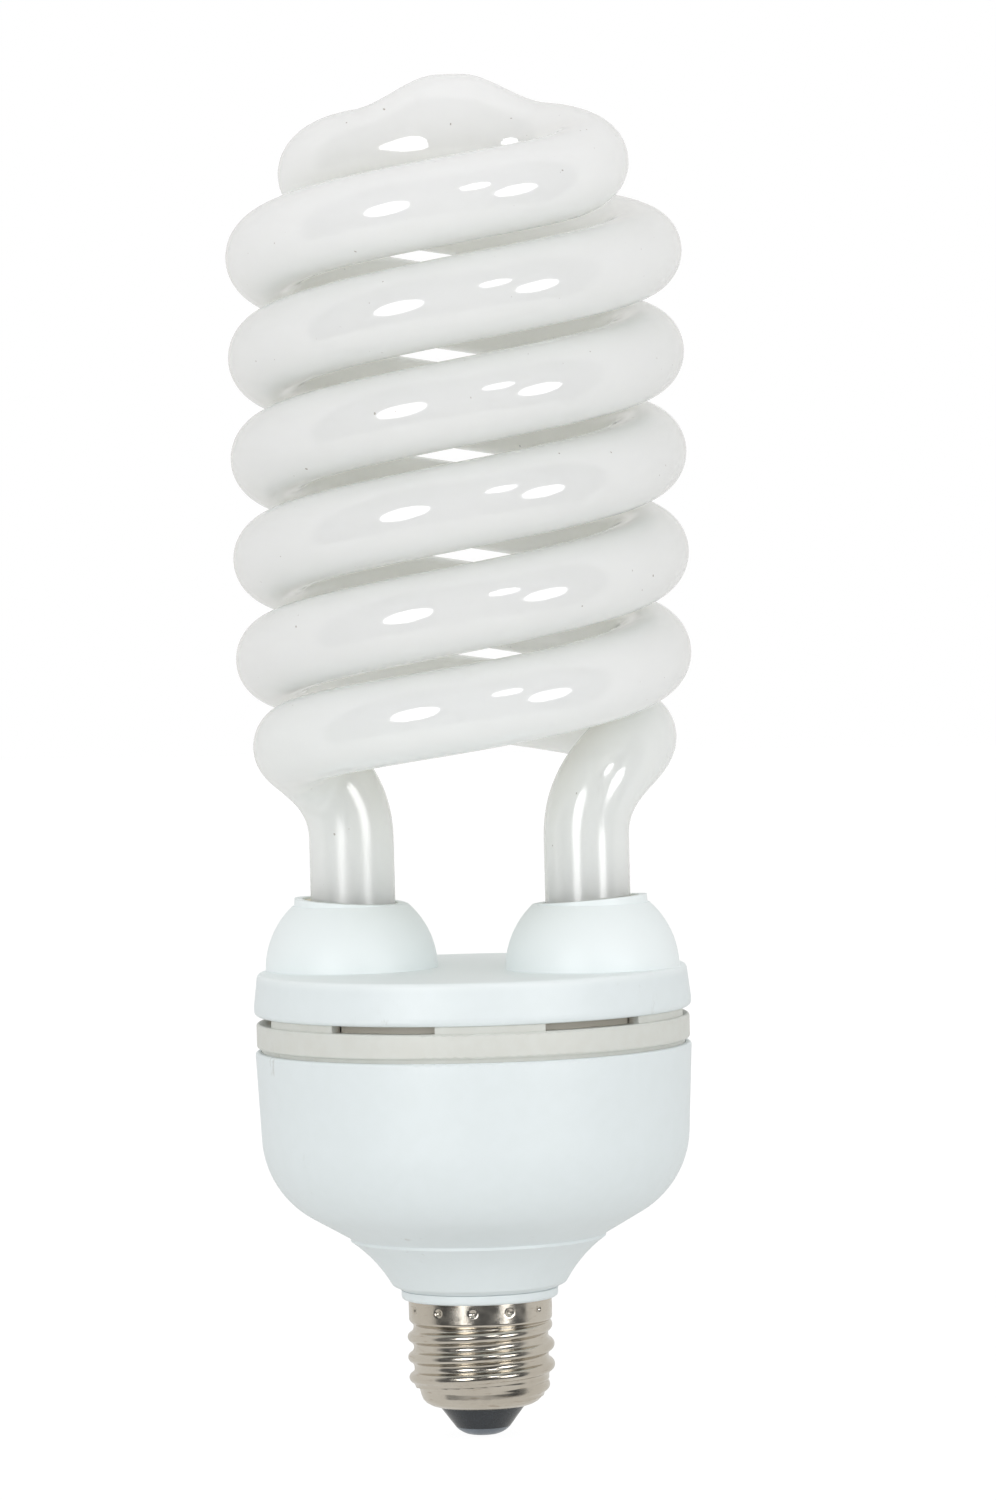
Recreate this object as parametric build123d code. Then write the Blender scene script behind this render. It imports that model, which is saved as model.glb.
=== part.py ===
"""Spiral compact fluorescent lamp with an E26 screw cap.

A double-helix glass discharge tube stands on a round plastic ballast housing.
The lamp screws into its holder by the rolled thread of the cap.

Frame: the origin is the tip of the centre contact, on the lamp's axis.
+Z runs along the axis to the top of the glass, +X through the tube's right leg.
All sizes are in millimetres and all turns in degrees.
"""
import math
import os

from build123d import *

# Discharge tube: two strands, each the other turned half round the axis
tube_diameter = 15.2
leg_radius = 21.84
leg_foot_rise = 0.25
bend_start = 107.0
coil_radius = 33.05
coil_pitch = 35.775
coil_turns = 2.0
coil_bottom = 139.65
crown_rise = 24.4
pinch_length = 12.0
pinch_width = 17.0
pinch_thickness = 3.6
nib_diameter = 3.0
nib_length = 2.6

# Bend from a leg into the coil: degrees round the axis, share of the way out, share of the rise
coil_start_turn = 196.0
lower_bend = [
    (0.5, 0.068, 0.168),
    (4.0, 0.282, 0.325),
    (13.0, 0.585, 0.453),
    (31.0, 0.835, 0.539),
    (61.0, 0.942, 0.625),
    (106.0, 0.987, 0.741),
    (151.0, 1.0, 0.867),
]

# Crown from the coil to the middle: degrees past the coil, share of its radius, share of the rise
crown_bend = [
    (40.0, 0.989, 0.160),
    (80.0, 0.944, 0.303),
    (120.0, 0.871, 0.434),
    (155.0, 0.784, 0.545),
    (183.0, 0.695, 0.645),
    (199.8, 0.624, 0.738),
    (212.7, 0.482, 0.820),
    (218.0, 0.246, 0.943),
]

# Screw cap, rolled from thin sheet
cap_sheet = 0.3
thread_pitch = 3.629
thread_crest_radius = 13.15
thread_root_radius = 12.06
thread_flat = 0.15
thread_first_crest = 10.4
thread_last_crest = 19.0
thread_start_turn = 183.4
ridge_root_depth = 1.2
thread_bottom = 9.9
thread_top = 20.0
band_radius = 12.83
shell_top = 24.6
shell_bottom = 5.2
shell_mouth_radius = 7.7
shell_knee_radius = 10.6
shell_knee_rise = 1.3
shell_neck_radius = 11.2
shell_neck_rise = 3.2
band_slope = 1.0
punch_count = 12
punch_radius = 0.9
punch_depth = 0.55
punch_below_top = 1.6
punch_first_turn = 10.0

# Black glass insulator and centre contact at the foot of the cap
insulator_fill = 2.4
contact_radius = 4.9
contact_flat_radius = 2.0
contact_height = 1.45
contact_bulge = 0.35
stem_radius = 1.3
stem_bore_radius = 0.6
stem_rise = 3.2

# Widest radius of the plastic body, at the cover's rim
body_radius = 39.1

# Ballast housing: spigot, collar, neck and bowl in one moulding
plastic_wall = 1.6
spigot_clearance = 0.08
spigot_step_clearance = 0.3
spigot_lower_radius = 11.5
spigot_bottom = 12.0
spigot_bore_radius = 9.9
collar_radius = 14.05
collar_height = 1.7
collar_rounding = 0.7
collar_groove = 0.3
neck_foot_radius = 15.6
neck_foot_rise = 0.9
neck_foot_rounding = 0.9
neck_top_radius = 22.9
neck_rise = 8.2
neck_hollow = 0.62
neck_band = 0.5
bowl_foot_slope = 30.0
bowl_corner_radius = 17.0
bowl_corner_inset = 17.8
bowl_draft = 2.73
bowl_top = 69.8
bowl_top_rounding = 0.6
rim_step_inset = 1.1
rim_step_depth = 3.0
board_rib_count = 4
board_rib_thickness = 1.4
board_rib_reach = 3.6
board_rib_height = 15.0

# Vent ring between the housing and the tube cover
ring_clearance = 0.1
ring_groove = 0.7
ring_setback = 0.35
ring_height = 4.4
ring_rounding = 0.5
ring_wall = 2.55
merlon_setback = 0.75
merlon_wall = 2.2
merlon_height = 2.8
vent_count = 6
vent_width = 30.5
vent_first_turn = 20.6
hook_side_gap = 0.4
hook_thickness = 1.2
hook_gap = 0.15
hook_root_depth = 4.0
hook_barb = 0.55
hook_barb_height = 1.4

# Tube cover with two domed collars
cover_draft = 0.7
cover_rim_rise = 1.3
cover_rim_rounding = 0.9
cover_height = 7.55
cover_top_rounding = 0.9
cover_ledge_height = 1.5
cover_ledge_inset = 0.2
dome_radius = 15.5
dome_offset = 22.4
lip_radius = 10.0
lip_bore_radius = 8.6
lip_height = 12.25
lip_stand = 3.0
lip_tilt = 4.0
cement_drop = 7.0
cement_below_lip = 0.35

# Circuit board
board_thickness = 1.6
board_clearance = 0.35
lead_radius = 0.4
lead_stub = 1.0
hole_clearance = 0.15

# Electrolytic capacitor, standing into the neck
bulk_radius = 8.0
bulk_length = 29.0
bulk_groove_depth = 0.5
bulk_lead_spacing = 7.5

# Choke: two E cores on a wound bobbin
choke_place = (-20.0, 0.0)
e_width = 19.0
e_depth = 5.0
e_height = 8.0
e_limb = 2.5
e_centre_limb = 5.0
bobbin_wall = 0.7
bobbin_flange = 1.0
bobbin_overhang = 5.0
winding_slack = 0.5

# Filter inductor on a drum core
drum_place = (17.0, -16.5)
drum_radius = 4.5
drum_height = 11.0
drum_neck_radius = 2.2
drum_flange = 1.5

# Drive transformer on a ring core
toroid_place = (16.5, 15.0)
toroid_outer_radius = 5.0
toroid_inner_radius = 2.5
toroid_height = 5.0
toroid_wire = 0.7
toroid_winding_angle = 50.0

# Small components: place on the board
transistor_places = [(27.0, 5.5), (27.0, -5.5)]
transistor_size = (3.2, 8.0, 11.0)
transistor_lead = 2.5
resonant_place = (0.0, 15.0)
resonant_size = (13.0, 5.0, 11.0)
blocking_place = (0.0, -15.0)
blocking_size = (10.0, 4.0, 9.0)
film_corner = 0.5
diode_places = [(-10.5, -25.0), (-3.5, -25.0), (3.5, -25.0), (10.5, -25.0)]
diode_body = (1.35, 5.2)
diode_span = 9.0
resistor_places = [(-11.0, 25.0), (-4.0, 25.0), (4.0, 25.0), (11.0, 25.0)]
resistor_body = (1.2, 6.3)
resistor_span = 10.0
trigger_place = (12.5, 0.0)
trigger_body = (0.95, 4.2)
trigger_span = 8.0
thermistor_place = (-14.0, -16.0)
thermistor_radius = 3.5
thermistor_thickness = 3.4
thermistor_spacing = 5.0

# Wrap pins and the leads from the glass
pin_radius = 0.5
pin_height = 5.6
pin_shoulder_radius = 1.0
pin_shoulder_height = 0.8
pin_place = (29.5, 6.0)
filament_wire = 0.25
filament_lead_spacing = 8.0
wrap_turns = 3
wrap_pitch = 0.44
wrap_drop = 1.6

# Leads down to the cap
live_lead_turn = -60.0
live_lead_offset = 9.9
live_lead_radius = 0.55
fuse_radius = 1.6
fuse_length = 9.0
fuse_bottom = 19.0
shell_lead_turn = 120.0
shell_lead_offset = 9.15
shell_lead_radius = 0.35
shell_lead_loop = 1.4
shell_lead_rise = 6.0
lead_groove_width = 1.4
lead_groove_depth = 0.95
lead_bend_radius = 0.9

# Radii and heights that follow from the sizes above
core_radius = thread_root_radius + thread_flat
cover_rim_radius = body_radius
cover_top_radius = cover_rim_radius - cover_draft
rim_step_radius = body_radius - rim_step_inset
ring_radius = body_radius - ring_setback
ring_inner_radius = ring_radius - ring_wall
merlon_radius = ring_radius - merlon_setback
merlon_inner_radius = merlon_radius - merlon_wall
housing_foot = shell_top
neck_foot = housing_foot + collar_height
neck_top = neck_foot + neck_foot_rise + neck_rise
board_seat = bowl_top - rim_step_depth - board_thickness
board_top = board_seat + board_thickness
ring_bottom = bowl_top + ring_groove
ring_top = ring_bottom + ring_height
cover_seat = ring_top + merlon_height
cover_bottom = ring_top + cover_rim_rise
cover_top = cover_bottom + cover_height
lip_top = cover_top + lip_height
coil_top = coil_bottom + coil_pitch * coil_turns
crown_height = coil_top + crown_rise
leg_bottom = cover_top + leg_foot_rise
pinch_bottom = leg_bottom - pinch_length


def polar(radius, turn, height):
    """Point at a radius and a turn round the lamp's axis."""
    angle = math.radians(turn)
    return Vector(radius * math.cos(angle), radius * math.sin(angle), height)


def turned(*outline):
    """Solid of revolution about the lamp's axis from an outline of radius and height."""
    return revolve(Plane.XZ * make_face(Curve() + list(outline)), axis=Axis.Z)


def turned_polygon(*points):
    """Solid of revolution about the lamp's axis from corner points of radius and height."""
    return turned(Polyline(*points, close=True))


def filled_form(outline, inset, low, high):
    """Solid of revolution inside an open outline, or inside a wall that follows it."""
    inside = (Curve() + list(outline)).wires()[0]
    if inset:
        inside = inside.offset_2d(inset, kind=Kind.INTERSECTION, side=Side.LEFT, closed=False)
    foot, head = sorted([inside @ 0, inside @ 1], key=lambda point: point.Y)
    over = high + 2 * inset + 1
    under = low - 2 * inset - 1
    closing = Polyline(
        (head.X, head.Y), (head.X, over), (0, over), (0, under), (foot.X, under), (foot.X, foot.Y)
    )
    form = turned(*inside.edges(), closing)
    return form & rod((0, 0), 2 * head.X, low, high)


def tube_between(low, high, outer, inner):
    """Straight tube round the lamp's axis."""
    return turned_polygon((inner, low), (outer, low), (outer, high), (inner, high))


def rod(place, radius, low, high):
    """Upright round rod at a place on the board."""
    return Pos(place[0], place[1], low) * Cylinder(
        radius, high - low, align=(Align.CENTER, Align.CENTER, Align.MIN)
    )


def block(place, size, low):
    """Upright block at a place on the board."""
    return Pos(place[0], place[1], low) * Box(
        *size, align=(Align.CENTER, Align.CENTER, Align.MIN)
    )


def wire_along(points, radius, bend):
    """Round wire along straight runs joined by tangent arcs."""
    route = FilletPolyline(*points, radius=bend)
    start = Plane(origin=route @ 0, z_dir=route % 0)
    return sweep(start * Circle(radius), path=route)


# Glass


def strand_edges():
    """Centreline of one strand: leg, bend and regular coil."""
    out = coil_radius - leg_radius
    rise = coil_bottom - bend_start
    leg_end = Vector(leg_radius, 0, bend_start)
    coil_start = polar(coil_radius, coil_start_turn, coil_bottom)
    bend_points = [
        polar(leg_radius + share * out, turn, bend_start + up * rise)
        for turn, share, up in lower_bend
    ]
    leg = Line((leg_radius, 0, leg_bottom), leg_end)
    bend = Spline(
        leg_end,
        *bend_points,
        coil_start,
        tangents=[(0, 0, 1), coil_direction(coil_start_turn)],
        tangent_scalars=(1, 1),
    )
    coil = Helix(coil_pitch, coil_pitch * coil_turns, coil_radius)
    coil = Pos(0, 0, coil_bottom) * Rot(0, 0, coil_start_turn) * coil
    return [leg, bend, coil]


def coil_direction(turn):
    """Unit tangent of the regular coil at a turn."""
    angle = math.radians(turn)
    lead = coil_pitch / (2 * math.pi)
    return Vector(-math.sin(angle) * coil_radius, math.cos(angle) * coil_radius, lead).normalized()


def crown_edge():
    """Centreline over the top, from one strand's coil through the axis to the other's."""
    last_turn = coil_start_turn + 360 * coil_turns
    near = [polar(coil_radius, last_turn, coil_top)]
    for turn, share, up in crown_bend:
        near.append(polar(share * coil_radius, last_turn + turn, coil_top + up * crown_rise))
    far = [Vector(-point.X, -point.Y, point.Z) for point in reversed(near)]
    start = coil_direction(last_turn)
    finish = Vector(start.X, start.Y, -start.Z)
    return Spline(
        *near,
        Vector(0, 0, crown_height),
        *far,
        tangents=[start, finish],
        tangent_scalars=(1, 1),
    )


def pinch_seal(turn):
    """Flat pressed end of a leg, where the wires pass through the glass."""
    round_end = Pos(leg_radius, 0, leg_bottom) * Circle(tube_diameter / 2)
    waist_height = leg_bottom - pinch_length / 2
    waist = Pos(leg_radius, 0, waist_height) * Ellipse(pinch_thickness / 2, pinch_width / 2)
    press = loft([waist, round_end])
    flat = extrude(waist, -pinch_length / 2)
    return Rot(0, 0, turn) * (press + flat)


def discharge_tube():
    """Glass tube of the lamp, one closed piece with a pressed seal at each end."""
    strand = strand_edges()
    other = [Rot(0, 0, 180) * edge for edge in strand]
    route = Wire([*strand, crown_edge(), *other])
    section = Pos(leg_radius, 0, leg_bottom) * Circle(tube_diameter / 2)
    glass = sweep(section, path=route)
    for turn in (0, 180):
        glass += pinch_seal(turn)
    nib = rod((-leg_radius, 0), nib_diameter / 2, pinch_bottom - nib_length, pinch_bottom + 1)
    return glass + nib


# Screw cap


def thread_arc():
    """Radius of the equal crest and root arcs of a knuckle thread."""
    depth = thread_crest_radius - thread_root_radius
    return ((thread_pitch / 2) ** 2 + depth**2) / (4 * depth)


def ridge_section(inset):
    """Section of the rolled ridge; the inset moves its surface inwards through the sheet."""
    arc = thread_arc()
    crest_centre = thread_crest_radius - arc
    root_centre = thread_root_radius + arc
    crest_arc = arc - inset
    root_arc = arc + inset
    foot_radius = core_radius - inset - thread_flat / 2
    join = math.atan2(thread_pitch / 2, root_centre - crest_centre)
    foot_turn = math.acos((root_centre - foot_radius) / root_arc)
    mid_turn = (foot_turn + join) / 2
    crest_end = (crest_centre + crest_arc * math.cos(join), crest_arc * math.sin(join))
    root_mid = (
        root_centre - root_arc * math.cos(mid_turn),
        thread_pitch / 2 - root_arc * math.sin(mid_turn),
    )
    foot = (foot_radius, thread_pitch / 2 - root_arc * math.sin(foot_turn))
    buried = (foot_radius - ridge_root_depth, foot[1])

    def below(point):
        return (point[0], -point[1])

    outline = [
        ThreePointArc(below(crest_end), (crest_centre + crest_arc, 0), crest_end),
        ThreePointArc(crest_end, root_mid, foot),
        Polyline(foot, buried, below(buried), below(foot)),
        ThreePointArc(below(foot), below(root_mid), below(crest_end)),
    ]
    return Plane.XZ * make_face(Curve() + outline)


def thread_ridge(inset):
    """The thread's ridge; the inset also shortens it, so that its ends are closed by the sheet."""
    turn_inset = math.degrees(inset / thread_root_radius)
    rise_inset = thread_pitch * turn_inset / 360
    height = thread_last_crest - thread_first_crest - 2 * rise_inset
    ridge = sweep(
        ridge_section(inset),
        path=Helix(thread_pitch, height, core_radius - inset),
        is_frenet=True,
    )
    return Pos(0, 0, thread_first_crest + rise_inset) * Rot(0, 0, thread_start_turn + turn_inset) * ridge


def cap_outline():
    """Outside of the cap's sheet without its thread, as radius and height."""
    return Polyline(
        (shell_mouth_radius, shell_bottom),
        (shell_knee_radius, shell_bottom + shell_knee_rise),
        (shell_neck_radius, shell_bottom + shell_neck_rise),
        (core_radius, thread_bottom),
        (core_radius, thread_top),
        (band_radius, thread_top + band_slope),
        (band_radius, shell_top),
    )


def cap_form(inset):
    """Solid form of the cap's sheet; the difference of two forms is the sheet itself."""
    form = filled_form(cap_outline().edges(), inset, shell_bottom, shell_top)
    return form + thread_ridge(inset) - punches(inset)


def punches(growth):
    """Ring of punch marks that fix the sheet to the plastic spigot."""
    place = polar(band_radius - punch_depth + punch_radius, 0, shell_top - punch_below_top)
    ball = Pos(place) * Sphere(punch_radius + growth)
    turns = [punch_first_turn + 360 / punch_count * index for index in range(punch_count)]
    return Part() + [Rot(0, 0, turn) * ball for turn in turns]


def screw_shell(outer_form, inner_form):
    """Threaded metal shell, the side contact of the lamp."""
    return outer_form - inner_form


def centre_contact():
    """Metal button with a hollow stem, riveted through the insulator."""
    middle = (contact_radius + contact_flat_radius) / 2
    dome = [
        Line((0, 0), (contact_flat_radius, 0)),
        ThreePointArc(
            (contact_flat_radius, 0),
            (middle, contact_height / 2 - contact_bulge),
            (contact_radius, contact_height),
        ),
        Polyline((contact_radius, contact_height), (0, contact_height), (0, 0)),
    ]
    stem = rod((0, 0), stem_radius, contact_height, contact_height + stem_rise)
    bore = rod((0, 0), stem_bore_radius, contact_height / 2, contact_height + stem_rise)
    return turned(*dome) + stem - bore


def cap_insulator(inner_form):
    """Black glass that fills the foot of the shell and holds the centre contact."""
    cone = turned_polygon(
        (0, contact_height),
        (contact_radius, contact_height),
        (shell_mouth_radius, shell_bottom),
        (0, shell_bottom),
    )
    filling = inner_form & rod((0, 0), band_radius, shell_bottom, shell_bottom + insulator_fill)
    hole = rod((0, 0), stem_radius, contact_height, shell_bottom + insulator_fill)
    return cone + filling - hole


# Plastic housing


def bowl_outline(top):
    """Neck and bowl from the collar's groove up to a height, as radius and height."""
    foot = (neck_foot_radius, neck_foot + neck_foot_rise)
    neck_end = (neck_top_radius, neck_top)
    chord_mid = ((foot[0] + neck_end[0]) / 2, (foot[1] + neck_end[1]) / 2)
    chord = math.atan2(neck_end[1] - foot[1], neck_end[0] - foot[0])
    neck_mid = (
        chord_mid[0] - neck_hollow * math.sin(chord),
        chord_mid[1] + neck_hollow * math.cos(chord),
    )
    slope = math.radians(bowl_foot_slope)
    centre_radius = body_radius - bowl_corner_inset
    cone_run = centre_radius + bowl_corner_radius * math.sin(slope) - neck_top_radius
    cone_rise = cone_run * math.tan(slope) + bowl_corner_radius * math.cos(slope)
    centre = Vector(centre_radius, neck_top + neck_band + cone_rise)

    def on_corner(degrees):
        angle = math.radians(degrees)
        return centre + Vector(math.cos(angle), math.sin(angle)) * bowl_corner_radius

    cone_end = on_corner(bowl_foot_slope - 90)
    wall_start = on_corner(-bowl_draft)
    wall_run = (top - wall_start.Y) * math.tan(math.radians(bowl_draft))
    return [
        ThreePointArc(foot, neck_mid, neck_end),
        Polyline(neck_end, (neck_top_radius, neck_top + neck_band), cone_end),
        ThreePointArc(cone_end, on_corner((bowl_foot_slope - 90 - bowl_draft) / 2), wall_start),
        Line(wall_start, (wall_start.X + wall_run, top)),
    ]


def bowl_cavity():
    """Room inside the neck and the bowl."""
    floor = neck_foot + neck_foot_rise + plastic_wall
    return filled_form(bowl_outline(bowl_top), plastic_wall, floor, bowl_top)


def ballast_housing():
    """Spigot, collar, neck and bowl, moulded in one piece."""
    spigot_radius = band_radius - cap_sheet - spigot_clearance
    spigot_step = thread_top + band_slope + spigot_step_clearance
    bowl_edges = bowl_outline(bowl_top)
    rim = bowl_edges[-1] @ 1
    lower = Polyline(
        (0, bowl_top),
        (0, spigot_bottom),
        (spigot_lower_radius, spigot_bottom),
        (spigot_lower_radius, spigot_step - 1),
        (spigot_radius, spigot_step),
        (spigot_radius, housing_foot),
        (collar_radius, housing_foot),
        (collar_radius, neck_foot),
        (collar_radius - collar_groove, neck_foot),
        (neck_foot_radius, neck_foot + neck_foot_rise),
    )
    body = turned(lower, *bowl_edges, Line(rim, (0, bowl_top)))
    body = fillet(circle_at(body, collar_radius, housing_foot), collar_rounding)
    body = fillet(circle_at(body, neck_foot_radius, neck_foot + neck_foot_rise), neck_foot_rounding)
    body = fillet(circle_at(body, rim.X, bowl_top), bowl_top_rounding)
    outer_form = body
    body -= bowl_cavity()
    body -= rod((0, 0), spigot_bore_radius, spigot_bottom, neck_top)
    body -= rod((0, 0), rim_step_radius, bowl_top - rim_step_depth, bowl_top)
    body += board_ribs() & outer_form
    body -= lead_groove()
    return body - punches(cap_sheet + spigot_clearance)


def circle_at(shape, radius, height):
    """The round edges of a shape at one radius and height."""
    return [
        edge
        for edge in shape.edges().filter_by(GeomType.CIRCLE)
        if abs(edge.radius - radius) < 1e-3 and abs(edge.center(CenterOf.BOUNDING_BOX).Z - height) < 1e-3
    ]


def board_ribs():
    """Gussets on the wall of the bowl that carry the circuit board."""
    board_radius = rim_step_radius
    gusset = make_face(
        Polyline(
            (board_radius - board_rib_reach - plastic_wall, board_seat),
            (board_radius, board_seat),
            (board_radius - plastic_wall / 2, board_seat - board_rib_height),
            close=True,
        )
    )
    rib = extrude(Plane.XZ * gusset, board_rib_thickness / 2, both=True)
    return Part() + [Rot(0, 0, 45 + 360 / board_rib_count * index) * rib for index in range(board_rib_count)]


def lead_groove():
    """Slot down the outside of the spigot for the shell's lead."""
    height = shell_lead_rise + lead_groove_width
    slot = Pos(spigot_lower_radius - lead_groove_depth, 0, spigot_bottom) * Box(
        2 * lead_groove_depth,
        lead_groove_width,
        height,
        align=(Align.MIN, Align.CENTER, Align.MIN),
    )
    return Rot(0, 0, shell_lead_turn) * slot


# Vent ring


def vent_ring():
    """Castellated ring: air leaves through the slots under the cover's rim."""
    spigot_radius = rim_step_radius - ring_clearance
    spigot_foot = bowl_top - rim_step_depth
    ring = tube_between(ring_bottom, ring_top, ring_radius, ring_inner_radius)
    ring = fillet(circle_at(ring, ring_radius, ring_bottom), ring_rounding)
    ring = fillet(circle_at(ring, ring_radius, ring_top), ring_rounding)
    ring += tube_between(spigot_foot, ring_bottom, spigot_radius, ring_inner_radius)
    merlons = tube_between(ring_top - plastic_wall, cover_seat, merlon_radius, merlon_inner_radius)
    step = 360 / vent_count
    slot = sector(vent_width, ring_top, cover_seat, merlon_radius + 1)
    slots = [Rot(0, 0, vent_first_turn + step * index) * slot for index in range(vent_count)]
    merlons -= slots
    hooks = [Rot(0, 0, vent_first_turn + step * index) * snap_hook() for index in range(vent_count)]
    return ring + merlons + hooks


def sector(width, low, high, radius):
    """Pie-shaped block round the axis, centred on the X direction."""
    half = math.radians(width / 2)
    reach = radius / math.cos(half)
    corners = [
        (0, 0),
        (reach * math.cos(half), -reach * math.sin(half)),
        (reach * math.cos(half), reach * math.sin(half)),
    ]
    return Pos(0, 0, low) * extrude(make_face(Polyline(*corners, close=True)), high - low)


def snap_hook():
    """Curved tongue that rises behind a slot and latches over the cover's ledge."""
    outer = cover_ledge_radius() - hook_gap
    inner = outer - hook_thickness
    top = cover_seat + cover_ledge_height
    barb_top = top + hook_gap + hook_barb_height
    profile = Polyline(
        (inner, ring_top - hook_root_depth),
        (ring_inner_radius + plastic_wall / 2, ring_top - hook_root_depth + hook_thickness),
        (ring_inner_radius + plastic_wall / 2, ring_top),
        (outer, ring_top),
        (outer, top + hook_gap),
        (outer + hook_barb, top + hook_gap),
        (outer, barb_top),
        (inner, barb_top),
        close=True,
    )
    side_gap = math.degrees(hook_side_gap / outer)
    wedge = sector(vent_width - 2 * side_gap, ring_top - hook_root_depth, cover_top, ring_radius)
    return revolve(Plane.XZ * make_face(profile), axis=Axis.Z) & wedge


# Tube cover


def cover_ledge_radius():
    """Inside radius of the ledge that rests on the vent ring's merlons."""
    return merlon_inner_radius + cover_ledge_inset


def tube_cover():
    """Cap of the housing with a domed collar round each leg of the glass."""
    body = turned_polygon(
        (0, cover_bottom),
        (cover_rim_radius, cover_bottom),
        (cover_rim_radius, cover_bottom + plastic_wall),
        (cover_top_radius, cover_top),
        (0, cover_top),
    )
    body = fillet(circle_at(body, cover_rim_radius, cover_bottom), cover_rim_rounding)
    body = fillet(circle_at(body, cover_top_radius, cover_top), cover_top_rounding)
    rim_bore = merlon_radius + ring_clearance
    wall_bore = cover_top_radius - plastic_wall
    ledge_top = cover_seat + cover_ledge_height
    ceiling = cover_top - plastic_wall
    body -= turned_polygon(
        (0, cover_bottom),
        (rim_bore, cover_bottom),
        (rim_bore, cover_seat),
        (cover_ledge_radius(), cover_seat),
        (cover_ledge_radius(), ledge_top),
        (wall_bore, ledge_top),
        (wall_bore, ceiling),
        (0, ceiling),
    )
    for side in (0, 180):
        body += Rot(0, 0, side) * collar_outside()
    for side in (0, 180):
        body -= Rot(0, 0, side) * collar_inside()
    return body


def collar_axis():
    """Place of a collar's lip: over the dome, leaning outwards."""
    return Pos(dome_offset, 0, lip_top) * Rot(0, -lip_tilt, 0)


def half_ball(radius, low):
    """Upper part of a ball centred in the plane of the cover's disc."""
    ball = Pos(dome_offset, 0, cover_top) * Sphere(radius)
    return ball & rod((dome_offset, 0), radius, low, cover_top + radius)


def collar_outside():
    """Dome and lip, without their hollow."""
    lip = collar_axis() * Pos(0, 0, -lip_stand) * Cylinder(
        lip_radius, lip_stand, align=(Align.CENTER, Align.CENTER, Align.MIN)
    )
    crop = rod((dome_offset, 0), dome_radius, cover_top - plastic_wall, lip_top - lip_height / 16)
    return (half_ball(dome_radius, cover_top - plastic_wall) & crop) + lip


def collar_inside():
    """Hollow of a dome and the bore of its lip."""
    room = half_ball(dome_radius - plastic_wall, cover_top - 2 * plastic_wall)
    room &= rod((dome_offset, 0), dome_radius, cover_top - 2 * plastic_wall, lip_top - lip_stand)
    bore = collar_axis() * Cylinder(lip_bore_radius, 3 * lip_stand)
    return room + bore


def tube_cement(turn):
    """Adhesive between a leg of the glass and its collar."""
    fill = collar_inside()
    fill &= rod((dome_offset, 0), dome_radius, lip_top - cement_drop, lip_top + lip_radius)
    fill &= collar_axis() * Pos(0, 0, -cement_below_lip) * Cylinder(
        dome_radius, 2 * dome_radius, align=(Align.CENTER, Align.CENTER, Align.MAX)
    )
    fill -= rod((leg_radius, 0), tube_diameter / 2, leg_bottom, bend_start)
    return Rot(0, 0, turn) * fill


# Circuit board and its components


def film_leads(place, size):
    """Places of the two leads of a box-shaped capacitor."""
    reach = size[0] / 2 - 1.5
    return [(place[0] - reach, place[1]), (place[0] + reach, place[1])]


def axial_leads(place, span):
    """Places of the two leads of a component that lies along Y."""
    return [(place[0], place[1] - span / 2), (place[0], place[1] + span / 2)]


def transistor_leads(place):
    """Places of a transistor's three leads."""
    step = transistor_size[1] / 3
    return [(place[0], place[1] + step * index) for index in (-1, 0, 1)]


def bobbin_leads():
    """Places of the choke's four pins."""
    reach_x = e_depth / 2 + bobbin_overhang - 1.0
    reach_y = e_width / 2 - e_limb - 1.5
    return [
        (choke_place[0] + side_x * reach_x, choke_place[1] + side_y * reach_y)
        for side_x in (-1, 1)
        for side_y in (-1, 1)
    ]


def pin_places():
    """Places of the four wrap pins, two beside each leg."""
    x, y = pin_place
    return [(side_x * x, side_y * y) for side_x in (-1, 1) for side_y in (-1, 1)]


def pair_along_x(place, spacing):
    """Two places a spacing apart along X."""
    return [(place[0] - spacing / 2, place[1]), (place[0] + spacing / 2, place[1])]


def board_holes():
    """Every hole in the board, as a place and a radius."""
    component = lead_radius + hole_clearance
    places = pair_along_x((0, 0), bulk_lead_spacing) + bobbin_leads()
    places += film_leads(resonant_place, resonant_size)
    places += film_leads(blocking_place, blocking_size)
    places += pair_along_x(drum_place, drum_radius)
    places += pair_along_x(thermistor_place, thermistor_spacing)
    places += axial_leads(trigger_place, trigger_span)
    for place in transistor_places:
        places += transistor_leads(place)
    for place in diode_places:
        places += axial_leads(place, diode_span)
    for place in resistor_places:
        places += axial_leads(place, resistor_span)
    holes = [(place, component) for place in places]
    holes += [(place, pin_radius + hole_clearance) for place in pin_places()]
    live = polar(live_lead_offset, live_lead_turn, 0)
    neutral = polar(shell_lead_offset, shell_lead_turn, 0)
    holes.append(((live.X, live.Y), live_lead_radius + hole_clearance))
    holes.append(((neutral.X, neutral.Y), shell_lead_radius + hole_clearance))
    return holes


def board_radius():
    """The board fits inside the bowl's wall under the vent ring's spigot."""
    wall = (bowl_outline(board_seat)[-1] @ 1).X - plastic_wall
    return wall - board_clearance


def circuit_board():
    """Round board, trapped between the ribs and the vent ring."""
    holes = [rod(place, radius, board_seat, board_top) for place, radius in board_holes()]
    return rod((0, 0), board_radius(), board_seat, board_top) - holes


def leads(places, low):
    """Straight leads from a component up through the board."""
    return [rod(place, lead_radius, low, board_top + lead_stub) for place in places]


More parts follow.
